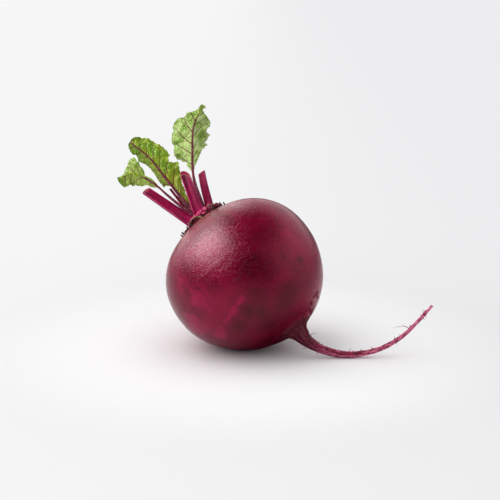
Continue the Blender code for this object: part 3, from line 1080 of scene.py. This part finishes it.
LEAVES["leaf_young"] = {
    "line": [(0.2, 6.6, 34.0), (-0.5, 7.1, 42.0), (-1.2, 7.8, 50.0), (-1.8, 8.6, 57.0)],
    "rib": (0.75, 0.2),
    "left": [(0.25, 0.0), (0.55, 2.2), (0.85, 1.6), (1.0, 0.3)],
    "right": [(0.25, 0.0), (0.55, 2.8), (0.85, 2.0), (1.0, 0.3)],
    "turn": (math.radians(10), math.radians(30)),
    "front": (0.0, -1.0, 0.1),
    "veins": ([0.4, 0.6, 0.8], [0.4, 0.6, 0.8]),
    "lean": (0.8, 0.8),
    "wave": (0.25, 0.3),
    "waves": 4.0,
    "pale": (0.2, 0.2),
    "rib_fade": (0.5, 0.9),
    "aged": 0.6,
}
print("leaves:", len(LEAVES))

# %% [markdown]
# ## Leaves
# A leaf is one growth from the foot of its stalk to its tip, so it is one loft: a channelled rib whose two
# sides widen into thin blades. A flat blade would look like paper, so three things bend it: the blade
# swells between its veins, it waves more and more towards its margin, and its tip curls.

# %% Across a leaf and along it
def side_width(side, share):
    """The blade's width at this share of the way to the tip, eased from each given place to the next."""
    if share <= side[0][0]:
        return side[0][1]
    for (low, start), (high, end) in zip(side, side[1:]):
        if share <= high:
            return start + (end - start) * ease(low, high, share)
    return side[-1][1]


def vein_number(starts, share):
    """Counts the veins that leave the midrib before this share of the way to the tip."""
    if share <= starts[0]:
        return (share - starts[0]) / (starts[1] - starts[0])
    for number, (low, high) in enumerate(zip(starts, starts[1:])):
        if share <= high:
            return number + (share - low) / (high - low)
    return len(starts) - 1 + (share - starts[-1]) / (starts[-1] - starts[-2])


def across_share(q, rib, blade):
    """Where a point of the ring lies across the leaf. A wide blade gets more of the points than the rib."""
    rib_part = 1 - 0.72 * ease(0.0, 3.0, blade)
    if abs(q) <= rib_part:
        return math.copysign(rib * math.sin(math.pi / 2 * abs(q) / rib_part), q)
    return math.copysign(rib + blade * (abs(q) - rib_part) / (1 - rib_part), q)


print("a vein number halfway between two veins:", vein_number([0.2, 0.4], 0.3))

# %% Bend the blade out of flat
LEAF_STEPS = 170
LEAF_POINTS = 46
BLADE_THICKNESS = 0.42
LEAF_FLATNESS = 0.8
LEAF_CHANNEL = 0.35
RIB_TAPER = 2.1
TEETH, TOOTH_DEPTH = 33, 0.5
SWELL_HEIGHT = 0.22
RUFFLE_HEIGHT, CRUMPLE_HEIGHT, SHRIVEL_HEIGHT = 1.7, 0.7, 0.9
TIP_CURL = 1.2


def side_widths(leaf, share):
    """How wide the left and the right blade are here, with the small teeth of the margin."""
    teeth = math.pi * TEETH * (share + 0.012 * math.sin(share * 31))
    tooth = TOOTH_DEPTH * (abs(math.sin(teeth)) - 0.6)
    widths = [side_width(leaf[side], share) for side in ("left", "right")]
    return [width + tooth * ease(1.0, 3.0, width) for width in widths]


def blade_wave(leaf, hand, spot, share, length, x, edge, width):
    """How far the blade waves, ruffles and crumples here."""
    wave = leaf["wave"][hand] * math.sin(leaf["waves"] * share * 2 * math.pi + hand * 1.7) * edge**2
    ruffle = noise.noise(Vector((share * length * 0.22, x * 0.22, 4.0 + hand * 9)))
    crumple = noise.noise(Vector((share * length * 0.5, x * 0.4, 7.0 + hand * 5)))
    wave += (RUFFLE_HEIGHT * ruffle + CRUMPLE_HEIGHT * crumple) * edge**0.7
    shrivelled = 0.35 + leaf["aged"] * ease(0.66, 0.5, share) * SHRIVEL_HEIGHT
    return wave * ease(1.0, 5.0, width) + shrivelled * noise.noise(spot * 0.55) * edge**1.5


def leaf_ring(leaf, spot, way, front, share, length):
    """A ring round a leaf, with the marks of each corner."""
    rib = leaf["rib"][1] + (leaf["rib"][0] - leaf["rib"][1]) * (1 - share) ** RIB_TAPER
    across = way.cross(front).normalized()
    out = across.cross(way).normalized()
    widths = side_widths(leaf, share)
    ring, marks = [], []
    for face in (1, -1):
        for step in range(LEAF_POINTS):
            q = (2 * (step + 0.5) / LEAF_POINTS - 1) * face
            hand = 0 if q < 0 else 1
            width = widths[hand]
            x = across_share(q, rib, width)
            blade = max(0.0, abs(x) - rib)
            edge = blade / width if width > 0.2 else 0.0
            vein = vein_number(leaf["veins"][hand], share - leaf["lean"][hand] * blade / length)
            swell = SWELL_HEIGHT * math.sin(math.pi * vein) ** 2 * math.sin(math.pi * min(edge, 1.0)) ** 0.5
            lift = swell * ease(0.5, 3.0, width) + blade_wave(leaf, hand, spot, share, length, x, edge, width)
            lift += TIP_CURL * ease(0.94, 1.0, share) * edge
            back = leaf["turn"][hand]
            sideways = math.copysign(min(abs(x), rib) + blade * math.cos(back), x)
            inside = math.sqrt(max(0.0, 1 - (x / rib) ** 2))
            rise = BLADE_THICKNESS / 2 * (1 - 0.6 * edge)
            rise += LEAF_FLATNESS * rib * inside * (FRONT_BULGE if face > 0 else 1.0)
            if face > 0:
                rise -= LEAF_CHANNEL * rib * inside**2
            ring.append(spot + across * sideways + out * (lift - blade * math.sin(back) + face * rise))
            marks.append({
                "leaf": Vector((x, share * length, 30.0 * face)),
                "vein": vein,
                "margin": edge,
                "rib": 1 - ease(rib * 0.85, rib * 1.25 + 0.1, abs(x)) if width > 0.3 else 1.0,
                "green_rib": ease(*leaf["rib_fade"], share),
                "stalk": 1 - 0.85 * ease(0.25, 0.55, share),
                # The pale mark is a painted sheen on the upper side; the underside adds its own paleness.
                "pale": min(1.0, leaf["pale"][hand] + (0.4 if face < 0 else 0.0)),
                "aged": leaf["aged"] * ease(0.62, 0.42, share) * 0.5,
            })
    return ring, marks


print("corners round a leaf:", 2 * LEAF_POINTS)

# %% Grow the leaves
def make_leaf(name, leaf):
    front = crown_way(*leaf["front"])
    line = smooth_line([crown_place(*place) for place in leaf["line"]], LEAF_STEPS)
    length = sum((b[0] - a[0]).length for a, b in zip(line, line[1:]))
    rings, marks = [], []
    for step, (spot, way) in enumerate(line):
        ring, ring_marks = leaf_ring(leaf, spot, way, front, step / LEAF_STEPS, length)
        rings.append(ring)
        marks.append(ring_marks)
    set_down(f"{name}_veined", grow(rings, marks), LEAF, [name])


for leaf_name, facts in LEAVES.items():
    make_leaf(leaf_name, facts)

# %% [markdown]
# ## Dry scraps round the crown
# Older leaves dropped off or were trimmed, and left withered points, papery flakes and a pale corky lip
# round the foot of the stalks. Most are matt, ragged and brown, and the bare flesh between them is moist
# and pink. They share one recipe: two colours in patches, lighter streaks and a lumpy surface. On the
# flesh the lighter streaks are partly painted glints.

# %% Materials of the crown
WITHERED_DARK = (0.018, 0.006, 0.007)
WITHERED_WINE = (0.06, 0.008, 0.014)
WITHERED_BROWN = (0.10, 0.045, 0.035)
PAPER_MAUVE = (0.24, 0.10, 0.13)
LIP_OLIVE = (0.30, 0.22, 0.12)
LIP_CREAM = (0.52, 0.42, 0.27)
FLESH_WINE = (0.32, 0.008, 0.07)
FLESH_PINK = (0.62, 0.05, 0.20)
# The white of the flesh is partly pale flesh and partly painted glints of its moist surface.
FLESH_WHITE_AND_GLINT = (0.75, 0.38, 0.48)
OLD_BASE_WINE = (0.12, 0.003, 0.022)
SCRAP_IOR = 1.42


def make_crown_finish(name, deep, middle, light, roughness, scale):
    """Two colours in patches with lighter streaks, on a lumpy matt or moist surface."""
    finish, tree, shader = new_finish(name, roughness, SCRAP_IOR)
    coordinates = tree.nodes.new("ShaderNodeTexCoord")
    place = stretch(tree, coordinates.outputs["Object"], (1 / MM, 1 / MM, 1 / MM))
    patches = cloud(tree, place, scale, 4.0, 0.6, bend=0.5)
    grain = cloud(tree, place, scale * 3.2, 4.0, 0.6)
    patchy = spread(tree, patches, 0.4, 0.6)
    streaky = spread(tree, grain, 0.55, 0.72)
    colour = coats(tree, deep, (patchy, middle), (streaky, light))
    plug(tree, shader.inputs["Base Color"], colour)
    plug(tree, shader.inputs["Roughness"], spread(tree, grain, 0.3, 0.7, roughness - 0.08, roughness + 0.12))
    relief(tree, shader, (patches, 0.4), (grain, 0.25))
    return finish


WITHERED = make_crown_finish("withered_dark", WITHERED_DARK, WITHERED_WINE, WITHERED_BROWN, 0.7, 0.7)
PAPERY = make_crown_finish("papery_mauve", WITHERED_DARK, WITHERED_WINE, PAPER_MAUVE, 0.62, 0.8)
LIP = make_crown_finish("corky_lip", WITHERED_BROWN, LIP_OLIVE, LIP_CREAM, 0.65, 0.9)
# Its lighter streaks are partly painted glints.
FLESH = make_crown_finish("crown_flesh", FLESH_WINE, FLESH_PINK, FLESH_WHITE_AND_GLINT, 0.4, 0.5)
OLD_BASE = make_crown_finish("old_stalk_base", OLD_BASE_WINE, OLD_BASE_WINE, PAPER_MAUVE, 0.45, 0.6)
print("crown finishes:", [finish.name for finish in (WITHERED, PAPERY, LIP, FLESH, OLD_BASE)])

# %% [markdown]
# ## Withered stubs
# A ring of dark ragged points stands on the shoulder, where the oldest stalks dried up. Each is a small
# loft that narrows to its tip. A seeded random number twists and bends each one, because no two may look
# alike and the beetroot must still come out the same every time.

# %% Withered stubs
# each stub: its bearing in degrees, its distance from the bulb's axis and its height
STUBS = [
    (2, 12.6, 4.3), (-20, 12.0, 3.3), (-50, 12.2, 1.8), (-82, 12.3, 1.5), (-116, 12.1, 1.6),
    (-150, 12.3, 2.9), (180, 12.0, 4.0), (150, 12.3, 2.8), (118, 12.0, 2.8), (84, 12.4, 2.4),
    (56, 12.1, 2.9), (27, 12.0, 3.0),
]
STUB_SIZE = (0.58, 0.85)
STUB_SIDES = 10
STUB_STEPS = 10
STUB_LEAN = 0.8
STUB_SINK, STUB_EXTRA = 0.5, 0.6
SHOULDER_RADIUS = 12.1
SHOULDER_HEIGHT = 31.4
SHOULDER_SLOPE = 0.9
chance = random.Random(7)


def stub_rings(bearing, distance, height):
    twist = chance.uniform(-1.5, 1.5)
    bend = chance.uniform(-0.5, 0.5)
    foot = SHOULDER_HEIGHT + (SHOULDER_RADIUS - distance) * SHOULDER_SLOPE - STUB_SINK
    rings = []
    for step in range(STUB_STEPS + 1):
        share = step / STUB_STEPS
        size = 1.1 * (1 - share) ** 0.45 + 0.14
        ring = []
        for cos, sin in turns(STUB_SIDES):
            ragged = 1 + 0.3 * noise.noise(Vector((cos * 2, sin * 2, bearing + share * 3)))
            wide = STUB_SIZE[0] * size * ragged * cos
            deep = STUB_SIZE[1] * size * ragged * sin
            out = wide * math.cos(twist * share) - deep * math.sin(twist * share) + share * STUB_LEAN
            aside = wide * math.sin(twist * share) + deep * math.cos(twist * share) + bend * share**2
            ring.append(round_crown(bearing, distance + out, aside, foot + share * (height + STUB_EXTRA)))
        rings.append(ring)
    return rings


stub_names = [f"withered_stub_{number + 1:02d}" for number in range(len(STUBS))]
stubs = join([grow(stub_rings(*stub)) for stub in STUBS])
set_down("withered_stubs", stubs, WITHERED, stub_names)

# %% [markdown]
# ## The corky lip
# At the front a pale corky lip curls round the foot of the stalks, and pieces of it run on round the
# crown. It is a flattened band swept along a wavy line, with noise to fray its edge.

# %% Corky lip
BAND_STEPS = 48
BAND_SIDES = 16
LIP_BANDS = [
    ([(-5.4, -9.3, 33.4), (-4.3, -9.6, 34.6), (-2.0, -9.9, 34.5), (-0.4, -10.4, 33.4), (0.6, -11.0, 31.9),
      (-1.2, -11.3, 31.2)], 0.6, 0.45, 0.6),
    ([(4.8, -8.4, 34.4), (6.6, -7.6, 35.9), (8.6, -5.2, 36.0), (9.8, -3.0, 35.6)], 0.5, 0.35, 0.7),
    ([(-7.4, 5.6, 35.0), (-5.0, 7.6, 35.4), (-1.4, 9.0, 34.8), (2.4, 9.2, 35.2), (6.0, 7.4, 34.8),
      (8.6, 4.4, 35.3)], 0.8, 0.5, 0.7),
    ([(-7.6, -5.2, 35.4), (-8.4, -2.4, 35.0), (-8.5, 0.4, 35.5), (-8.0, 3.4, 34.8), (-6.6, 5.8, 35.2)],
     0.7, 0.45, 0.7),
]


def band(line, wide, thick, ragged):
    """A closed flattened band along a line, thinner at its ends, with a ragged edge."""
    rings = []
    for step, (spot, way) in enumerate(smooth_line([crown_place(*place) for place in line], BAND_STEPS)):
        share = step / BAND_STEPS
        outward = (spot - crown_place(0, 0, 30)).normalized()
        sideways = way.cross(outward).normalized()
        out = sideways.cross(way).normalized()
        taper = math.sin(math.pi * (0.03 + 0.94 * share)) ** 0.5
        ring = []
        for cos, sin in turns(BAND_SIDES):
            rough = 1 + ragged * noise.noise(Vector((cos * 1.2, sin * 1.2, share * 11)))
            ring.append(spot + (sideways * (cos * wide) + out * (sin * thick)) * taper * rough)
        rings.append(ring)
    return grow(rings)


set_down("corky_lip", join([band(*facts) for facts in LIP_BANDS]), LIP)

# %% [markdown]
# ## Crown flesh and old stalk bases
# Moist pink flesh fills the middle of the crown, and the dark bases of older stalks sit round it. Both
# are round lumps: small spheres, squashed along the crown's directions and pushed out of true by noise,
# so that they look grown and not turned.

# %% Lumps of flesh and old bases
# each lump: u, v and w of its middle, and its three half sizes
FLESH_LUMPS = [
    (0.9, -8.3, 34.7, (2.6, 1.9, 1.5)),
    (-0.4, -9.0, 34.2, (2.2, 1.1, 1.1)),
    (2.4, -9.2, 33.4, (1.5, 1.2, 1.1)),
    (4.1, -7.9, 34.9, (1.5, 1.4, 1.7)),
    (-3.0, -7.4, 35.2, (2.2, 1.6, 1.2)),
    (6.6, -3.6, 36.3, (1.0, 1.1, 1.9)),
    (0.6, 2.0, 35.0, (6.4, 5.2, 1.2)),
]
BASE_LUMPS = [
    (-6.0, -9.0, 33.0, (1.1, 1.3, 2.2)),
    (6.8, -8.2, 33.6, (1.9, 1.8, 2.3)),
    (9.6, -5.6, 33.4, (1.7, 1.9, 1.9)),
    (10.4, -1.4, 33.6, (1.7, 2.0, 2.0)),
    (9.8, 3.2, 33.6, (1.9, 2.0, 1.8)),
    (-9.6, -2.0, 33.2, (1.5, 2.2, 1.8)),
    (6.4, 7.8, 33.6, (2.2, 1.7, 1.8)),
    (-6.4, 7.8, 33.4, (2.2, 1.7, 1.6)),
    (0.0, 9.8, 33.4, (2.6, 1.4, 1.7)),
]
LUMP_FINENESS = 4


def lump(u, v, w, half_sizes, ragged):
    mesh = bmesh.new()
    bmesh.ops.create_icosphere(mesh, subdivisions=LUMP_FINENESS, radius=1.0)
    for vert in mesh.verts:
        swell = 1 + ragged * noise.noise(vert.co * 1.7 + Vector((u, v, w)))
        swell += ragged * 0.4 * noise.noise(vert.co * 5.0 + Vector((w, u, v)))
        vert.co = (crown_place(u, v, w) + crown_way(*(vert.co * Vector(half_sizes))) * swell) * MM
    return mesh


flesh = join([lump(*facts, 0.35) for facts in FLESH_LUMPS])
set_down("crown_flesh_lumps", flesh, FLESH)
bases = join([lump(*facts, 0.25) for facts in BASE_LUMPS])
set_down("old_stalk_bases", bases, OLD_BASE)

# %% [markdown]
# ## Papery flakes
# Flakes of dried skin stand up all round the shoulder. A flake starts as a small grid, is curled over a
# finger-like bend, gets ragged by noise and is given a thickness with the solidify operator.

# %% Flakes round the shoulder
FLAKES = 40
FRONT_GAP = (232, 300)
FLAKE_THICKNESS = 0.1
FLAKE_GRID = 6
FLAKE_RING = (9.6, 12.4)
FLAKE_HEIGHT, FLAKE_SLOPE = 34.2, 1.05


def flake(bearing, distance, height, length, width, lean):
    mesh = bmesh.new()
    bmesh.ops.create_grid(mesh, x_segments=FLAKE_GRID, y_segments=FLAKE_GRID, size=0.5)
    for vert in mesh.verts:
        across, rise = vert.co.x, vert.co.y + 0.5
        ragged = noise.noise(Vector((bearing, across * 3, rise * 3)))
        aside = across * width * (1 - 0.55 * rise**2) * (1 + 0.4 * ragged)
        out = distance + lean * rise**2 * length - 0.5 * (aside**2) / width + 0.25 * ragged
        w = height + rise * length * (1 - 0.3 * abs(lean) * rise) + 0.3 * ragged * rise
        vert.co = round_crown(bearing, out, aside, w) * MM
    bmesh.ops.recalc_face_normals(mesh, faces=mesh.faces)
    bmesh.ops.solidify(mesh, geom=mesh.faces[:], thickness=FLAKE_THICKNESS * MM)
    return mesh


flakes = []
for number in range(FLAKES):
    bearing = 360 * number / FLAKES + chance.uniform(-6, 6)
    distance = chance.uniform(*FLAKE_RING)
    height = FLAKE_HEIGHT - (distance - FLAKE_RING[0]) * FLAKE_SLOPE
    size = (chance.uniform(0.6, 1.4), chance.uniform(0.7, 1.7))
    lean = chance.uniform(-0.3, 0.6)
    if not FRONT_GAP[0] < bearing < FRONT_GAP[1]:
        flakes.append(flake(bearing, distance, height, *size, lean))
set_down("papery_flakes", join(flakes), PAPERY)

# %% [markdown]
# ## Rootlets
# Fine hairs stand off the tap root, each on a small knot. They are thin tapering tubes with six sides.
# The ones that break the outline have set places, and a seeded draw adds the rest all round.

# %% Hairs and knots along the tap root
HAIR_SIDES = 6
HAIR_STEPS = 10
HAIR_RADIUS = 0.2
HAIR_KNOTS = 3
TAIL_PLACES = smooth_line(TAIL_LINE, 200)


def on_tail(share, bearing):
    """A place on the tap root's middle line, its thickness and its direction there, and the way out."""
    place, way = TAIL_PLACES[round(share * (len(TAIL_PLACES) - 1))]
    way = way.xyz.normalized()
    sideways = way.cross(UP).normalized()
    turn = math.radians(bearing)
    return place.xyz, place.w, way, sideways.cross(way) * math.sin(turn) + sideways * math.cos(turn)


def hair(share, bearing, length, lean):
    """A hair that leaves the tap root at this share of its length, turned round it, bending as it goes."""
    place, thickness, way, out = on_tail(share, bearing)
    start = place + out * thickness * 0.8
    points = [start]
    for step in range(1, HAIR_KNOTS + 1):
        reach = length * step / HAIR_KNOTS
        sway = Vector([chance.uniform(-0.25, 0.25) * length / HAIR_KNOTS for _ in range(3)])
        points.append(start + out * reach + way * lean * reach * step / HAIR_KNOTS + sway)
    rings = []
    for step, (spot, heading) in enumerate(smooth_line(points, HAIR_STEPS)):
        heading.normalize()
        across = heading.orthogonal().normalized()
        radius = HAIR_RADIUS * (1 - 0.75 * step / HAIR_STEPS)
        rings.append(round_ring(spot, across, heading.cross(across), radius, HAIR_SIDES))
    return grow(rings)


def knot(share, bearing, size, stretched=0.9):
    """A small swelling on the tap root, where a side root starts or broke away."""
    place, thickness, way, out = on_tail(share, bearing)
    mesh = bmesh.new()
    bmesh.ops.create_icosphere(mesh, subdivisions=2, radius=1.0)
    for vert in mesh.verts:
        spot = vert.co * size * (1 + 0.4 * noise.noise(vert.co * 1.5 + Vector((bearing, share * 90, 0))))
        vert.co = (place + out * thickness * 0.85 + spot + way * way.dot(spot) * stretched) * MM
    return mesh


print("places along the tap root:", len(TAIL_PLACES))

# %% Rootlets
# each hair: its share of the way along the tap root, its bearing round it, its length and its lean
SET_HAIRS = [
    (0.10, 75, 4.2, 0.5), (0.02, 250, 2.2, 0.2), (0.16, 265, 2.6, -0.4), (0.235, 250, 2.6, 0.4),
    (0.21, 80, 1.6, 0.1), (0.42, 85, 2.0, 0.5), (0.56, 80, 1.8, -0.3), (0.70, 85, 1.6, 0.4),
    (0.80, 95, 5.5, -0.9), (0.93, 80, 1.6, 0.3),
]
LOOSE_HAIRS = 44
SET_KNOT = 0.42

hairs = [hair(*facts) for facts in SET_HAIRS]
hairs += [knot(share, bearing, SET_KNOT) for share, bearing, _, _ in SET_HAIRS]
for _ in range(LOOSE_HAIRS):
    share, bearing = chance.uniform(0.0, 0.97), chance.uniform(0, 360)
    hairs.append(hair(share, bearing, chance.uniform(0.5, 1.6), chance.uniform(-0.5, 0.8)))
    hairs.append(knot(share, bearing, chance.uniform(0.22, 0.4)))
ROOTLET = make_crown_finish("rootlet_wine", TAIL_BRUISE, TAIL_ROSE, TAIL_PINK_AND_HIGHLIGHT, 0.5, 0.6)
set_down("rootlets", join(hairs), ROOTLET)

# %% [markdown]
# ## Scars of side roots
# Side roots sprang from the lower bulb and from the neck of the tap root, and were pulled off when it was
# washed. Each one left a raised crimson thread that is half sunk into the skin. A thread is pulled
# down on to the root's surface by looking up the nearest place on it, so that it never hangs in the air.
# Along the neck they leave a row of crusty scabs instead, which are knots stretched along the root.

# %% Threads and scabs on the skin
SCAB_DARK = (0.05, 0.001, 0.006)
SCAB_RED = (0.33, 0.008, 0.05)
SCAR_THREADS = [
    [(18.2, -7.0, -32.4), (19.4, -6.4, -31.9), (20.3, -5.1, -31.6), (20.4, -2.3, -31.9), (20.2, 2.2, -32.0)],
    [(20.3, -5.1, -31.6), (21.4, -4.4, -31.0), (22.2, -3.3, -30.5)],
    [(12.1, -7.6, -35.0), (13.1, -7.1, -34.7), (14.0, -5.6, -34.7), (13.7, -1.9, -35.2), (12.6, 2.4, -35.6)],
    [(13.4, -5.5, -35.0), (10.8, -5.9, -35.7), (8.9, -5.9, -36.2), (6.9, -4.2, -36.8)],
    [(16.9, -7.4, -33.0), (16.2, -6.7, -33.5), (15.6, -5.2, -34.0)],
    [(8.9, -5.9, -36.2), (8.0, -8.0, -36.4), (6.4, -8.8, -36.6)],
]
THREAD_RADIUS = 0.3
THREAD_STEPS = 26
THREAD_SIDES = 7
SCABS = 46


def thread(points):
    """A ragged tube that follows the skin, half sunk into it and thinner at its ends."""
    rings = []
    for step, (spot, way) in enumerate(smooth_line([crown_place(*place) for place in points], THREAD_STEPS)):
        jitter = noise.noise_vector(spot * 0.9) * 0.35
        surface, out, _, _ = ROOT_SURFACE.find_nearest((spot + jitter) * MM)
        across = way.cross(out).normalized()
        taper = 0.35 + 0.65 * abs(math.sin(math.pi * step / THREAD_STEPS)) ** 0.5
        radius = THREAD_RADIUS * taper * (1 + 0.5 * noise.noise(spot * 1.7))
        rings.append(round_ring(surface / MM + out * radius * 0.1, across, out, radius, THREAD_SIDES))
    return grow(rings)


scars = [thread(points) for points in SCAR_THREADS]
for number in range(SCABS):
    share = 0.5 * (number / SCABS) ** 0.8
    scars.append(knot(share, 52 + chance.uniform(-20, 20), chance.uniform(0.3, 0.6), 1.8))
    if number % 3 == 0:
        bearing, length = 60 + chance.uniform(-30, 40), chance.uniform(0.6, 1.3)
        scars.append(hair(share, bearing, length, chance.uniform(-0.2, 1.0)))
# Its pale pink streaks are painted highlights beside the scabs.
SCAB = make_crown_finish("scab_crimson", SCAB_DARK, SCAB_RED, TAIL_PINK_AND_HIGHLIGHT, 0.4, 0.8)
set_down("side_root_scars", join(scars), SCAB)

# %% [markdown]
# ## The table
# The beetroot lies on a plain pale table. Close to it a painted pool of light makes the table a little
# lighter, as under a soft lamp, and painted shade turns it slowly greyer to the right. The glossy skin
# mirrors the table too, and a wide white table would wash out its colour. So mirrored rays see the table
# dark close beside the bulb, as if a dark card lay there, and they see it fade out further away. Nothing
# else is changed by that.

# %% Floor
FLOOR_RADIUS = 20.0
FLOOR_SIDES = 96
FLOOR_IOR = 1.3
FLOOR_TONE = (0.74, 0.74, 0.745)
# Painted shade greys the table to the right, and a painted pool of light lightens it close to the bulb.
FLOOR_SHADE = (0.685, 0.685, 0.695)
FLOOR_PAINTED_LIGHT_POOL = (0.83, 0.835, 0.84)
FALL_RANGE = (-0.13, 0.2)
NEAR_RANGE = (0.14, 0.05)
MIRRORED_SHADE = 0.05
SHADE_MIDDLE = (0.03, 0.0, 0.0)
SHADE_RANGE = (0.025, 0.052)
FAR_RANGE = (0.2, 0.5)


def make_floor_finish():
    finish, tree, shader = new_finish("pale_table", 0.9, FLOOR_IOR)
    shader.inputs["Specular IOR Level"].default_value = 0.0
    place = tree.nodes.new("ShaderNodeTexCoord").outputs["Object"]
    reach = vectors(tree, "LENGTH", place)
    rightwards = vectors(tree, "DOT_PRODUCT", place, (1.0, 0.0, 0.0))
    tone = coats(
        tree,
        FLOOR_TONE,
        # Painted shade to the right, and a painted pool of light close to the bulb.
        (spread(tree, rightwards, *FALL_RANGE), FLOOR_SHADE),
        (spread(tree, reach, *NEAR_RANGE), FLOOR_PAINTED_LIGHT_POOL),
        (spread(tree, cloud(tree, place, 60.0, 3.0), 0.3, 0.7, 0.0, 0.02), FLOOR_SHADE),
    )
    beside = vectors(tree, "DISTANCE", place, SHADE_MIDDLE)
    near = spread(tree, beside, *SHADE_RANGE, MIRRORED_SHADE, 1.0)
    far = spread(tree, reach, *FAR_RANGE, 1.0, MIRRORED_SHADE)
    dimmed = stretch(tree, tone, times(tree, near, far))
    mirrored = tree.nodes.new("ShaderNodeLightPath").outputs["Is Glossy Ray"]
    plug(tree, shader.inputs["Base Color"], mix(tree, mirrored, tone, dimmed))
    return finish


def make_floor():
    mesh = bmesh.new()
    bmesh.ops.create_circle(mesh, cap_ends=True, radius=FLOOR_RADIUS, segments=FLOOR_SIDES)
    data = bpy.data.meshes.new("table")
    mesh.to_mesh(data)
    mesh.free()
    data.materials.append(make_floor_finish())
    place_object("table", data)


make_floor()
print("table:", 2 * FLOOR_RADIUS, "m across")

# %% [markdown]
# ## Light
# The studio has one large soft box high on the left and dim walls at the right and the back. The boxes
# are painted on the sky, where only mirrored rays see them: they make the highlights. Matt surfaces see
# an almost even glow instead, plus one very wide sun from the same side as the large box, so colours stay
# clear and the shadow stays soft. The camera sees a plain pale tone where the table ends.

# %% Sky with soft light boxes
AIR_TONE = 0.01
SEEN_TONE = (0.9, 0.9, 0.905)
GLOW_WAY = (-0.9, -0.35, 0.2)
GLOW_RANGE = (0.96, 1.08)
KEY_WAY = (-0.72, -0.14, 0.68)
# each wall: the way to its middle, its half sizes, the softness of its edges and its brightness
LIGHT_WALLS = [
    (KEY_WAY, (0.47, 0.41), 0.42, 13.5),
    ((0.93, -0.12, 0.33), (0.64, 0.56), 0.2, 1.25),
    ((-0.62, 0.62, 0.42), (0.7, 0.62), 0.3, 2.4),
    ((0.35, 0.85, 0.38), (0.75, 0.45), 0.3, 1.1),
]


def light_box(tree, way_here, middle, half_sizes, softness, brightness):
    """How bright a box looks from here: its edges fade out across and up from its middle."""
    ahead = Vector(middle).normalized()
    across = ahead.cross(UP).normalized()
    depth = maths(tree, "MAXIMUM", vectors(tree, "DOT_PRODUCT", way_here, ahead), 0.02)
    shown = brightness
    for direction, half in zip((across, across.cross(ahead)), half_sizes):
        offset = maths(tree, "DIVIDE", vectors(tree, "DOT_PRODUCT", way_here, direction), depth)
        offset = maths(tree, "ABSOLUTE", offset)
        shown = times(tree, spread(tree, offset, half + softness / 2, half - softness / 2), shown)
    return shown


def background(tree, tone):
    node = tree.nodes.new("ShaderNodeBackground")
    plug(tree, node.inputs["Color"], tone)
    return node.outputs[0]


def make_sky():
    world = bpy.data.worlds.new("studio")
    world.use_nodes = True
    world.cycles.sampling_method = "NONE"
    tree = world.node_tree
    tree.nodes.clear()
    way_here = tree.nodes.new("ShaderNodeTexCoord").outputs["Generated"]
    total = AIR_TONE
    for wall in LIGHT_WALLS:
        total = maths(tree, "ADD", light_box(tree, way_here, *wall), total)
    glow = spread(tree, vectors(tree, "DOT_PRODUCT", way_here, GLOW_WAY), -1.0, 1.0, *GLOW_RANGE)
    path = tree.nodes.new("ShaderNodeLightPath")
    shown = background(tree, total)
    for ray, tone in (("Is Diffuse Ray", glow), ("Is Camera Ray", SEEN_TONE)):
        either = tree.nodes.new("ShaderNodeMixShader")
        for socket, value in enumerate((path.outputs[ray], shown, background(tree, tone))):
            tree.links.new(value, either.inputs[socket])
        shown = either.outputs[0]
    result = tree.nodes.new("ShaderNodeOutputWorld")
    tree.links.new(shown, result.inputs["Surface"])
    bpy.context.scene.world = world


make_sky()
print("light boxes:", len(LIGHT_WALLS))

# %% The soft sun that lights the matt part of each finish
GLOW_WIDTH = math.radians(75)
GLOW_STRENGTH = 1.1
PICTURE_GAMMA = 0.83


def make_glow():
    data = bpy.data.lights.new("key_glow", "SUN")
    data.angle = GLOW_WIDTH
    data.energy = GLOW_STRENGTH
    sun = place_object("key_glow", data)
    sun.visible_glossy = False
    sun.rotation_mode = "QUATERNION"
    sun.rotation_quaternion = Vector(KEY_WAY).to_track_quat("Z", "Y")


make_glow()
bpy.context.scene.view_settings.view_transform = "Standard"
bpy.context.scene.view_settings.gamma = PICTURE_GAMMA
print("sun:", round(math.degrees(GLOW_WIDTH)), "degrees wide")

# %% [markdown]
# ## Camera
# A long lens from well back keeps the bulb round, as a product picture does. The camera looks down a
# little, so that the table and the soft shadow show.

# %% Camera
CAMERA_RISE = math.radians(14.0)
CAMERA_DISTANCE = 667.0
CAMERA_TARGET = Vector((2.6, 2.78, 47.46))
CAMERA_LENS = 100.0


def make_camera():
    data = bpy.data.cameras.new("camera")
    data.lens = CAMERA_LENS
    data.clip_start = 0.01
    camera = place_object("camera", data)
    back = Vector((0, -math.cos(CAMERA_RISE), math.sin(CAMERA_RISE)))
    camera.location = (CAMERA_TARGET + back * CAMERA_DISTANCE) * MM
    camera.rotation_euler = (math.pi / 2 - CAMERA_RISE, 0, 0)
    bpy.context.scene.camera = camera


make_camera()
print("camera:", CAMERA_DISTANCE, "mm away with a", CAMERA_LENS, "mm lens")
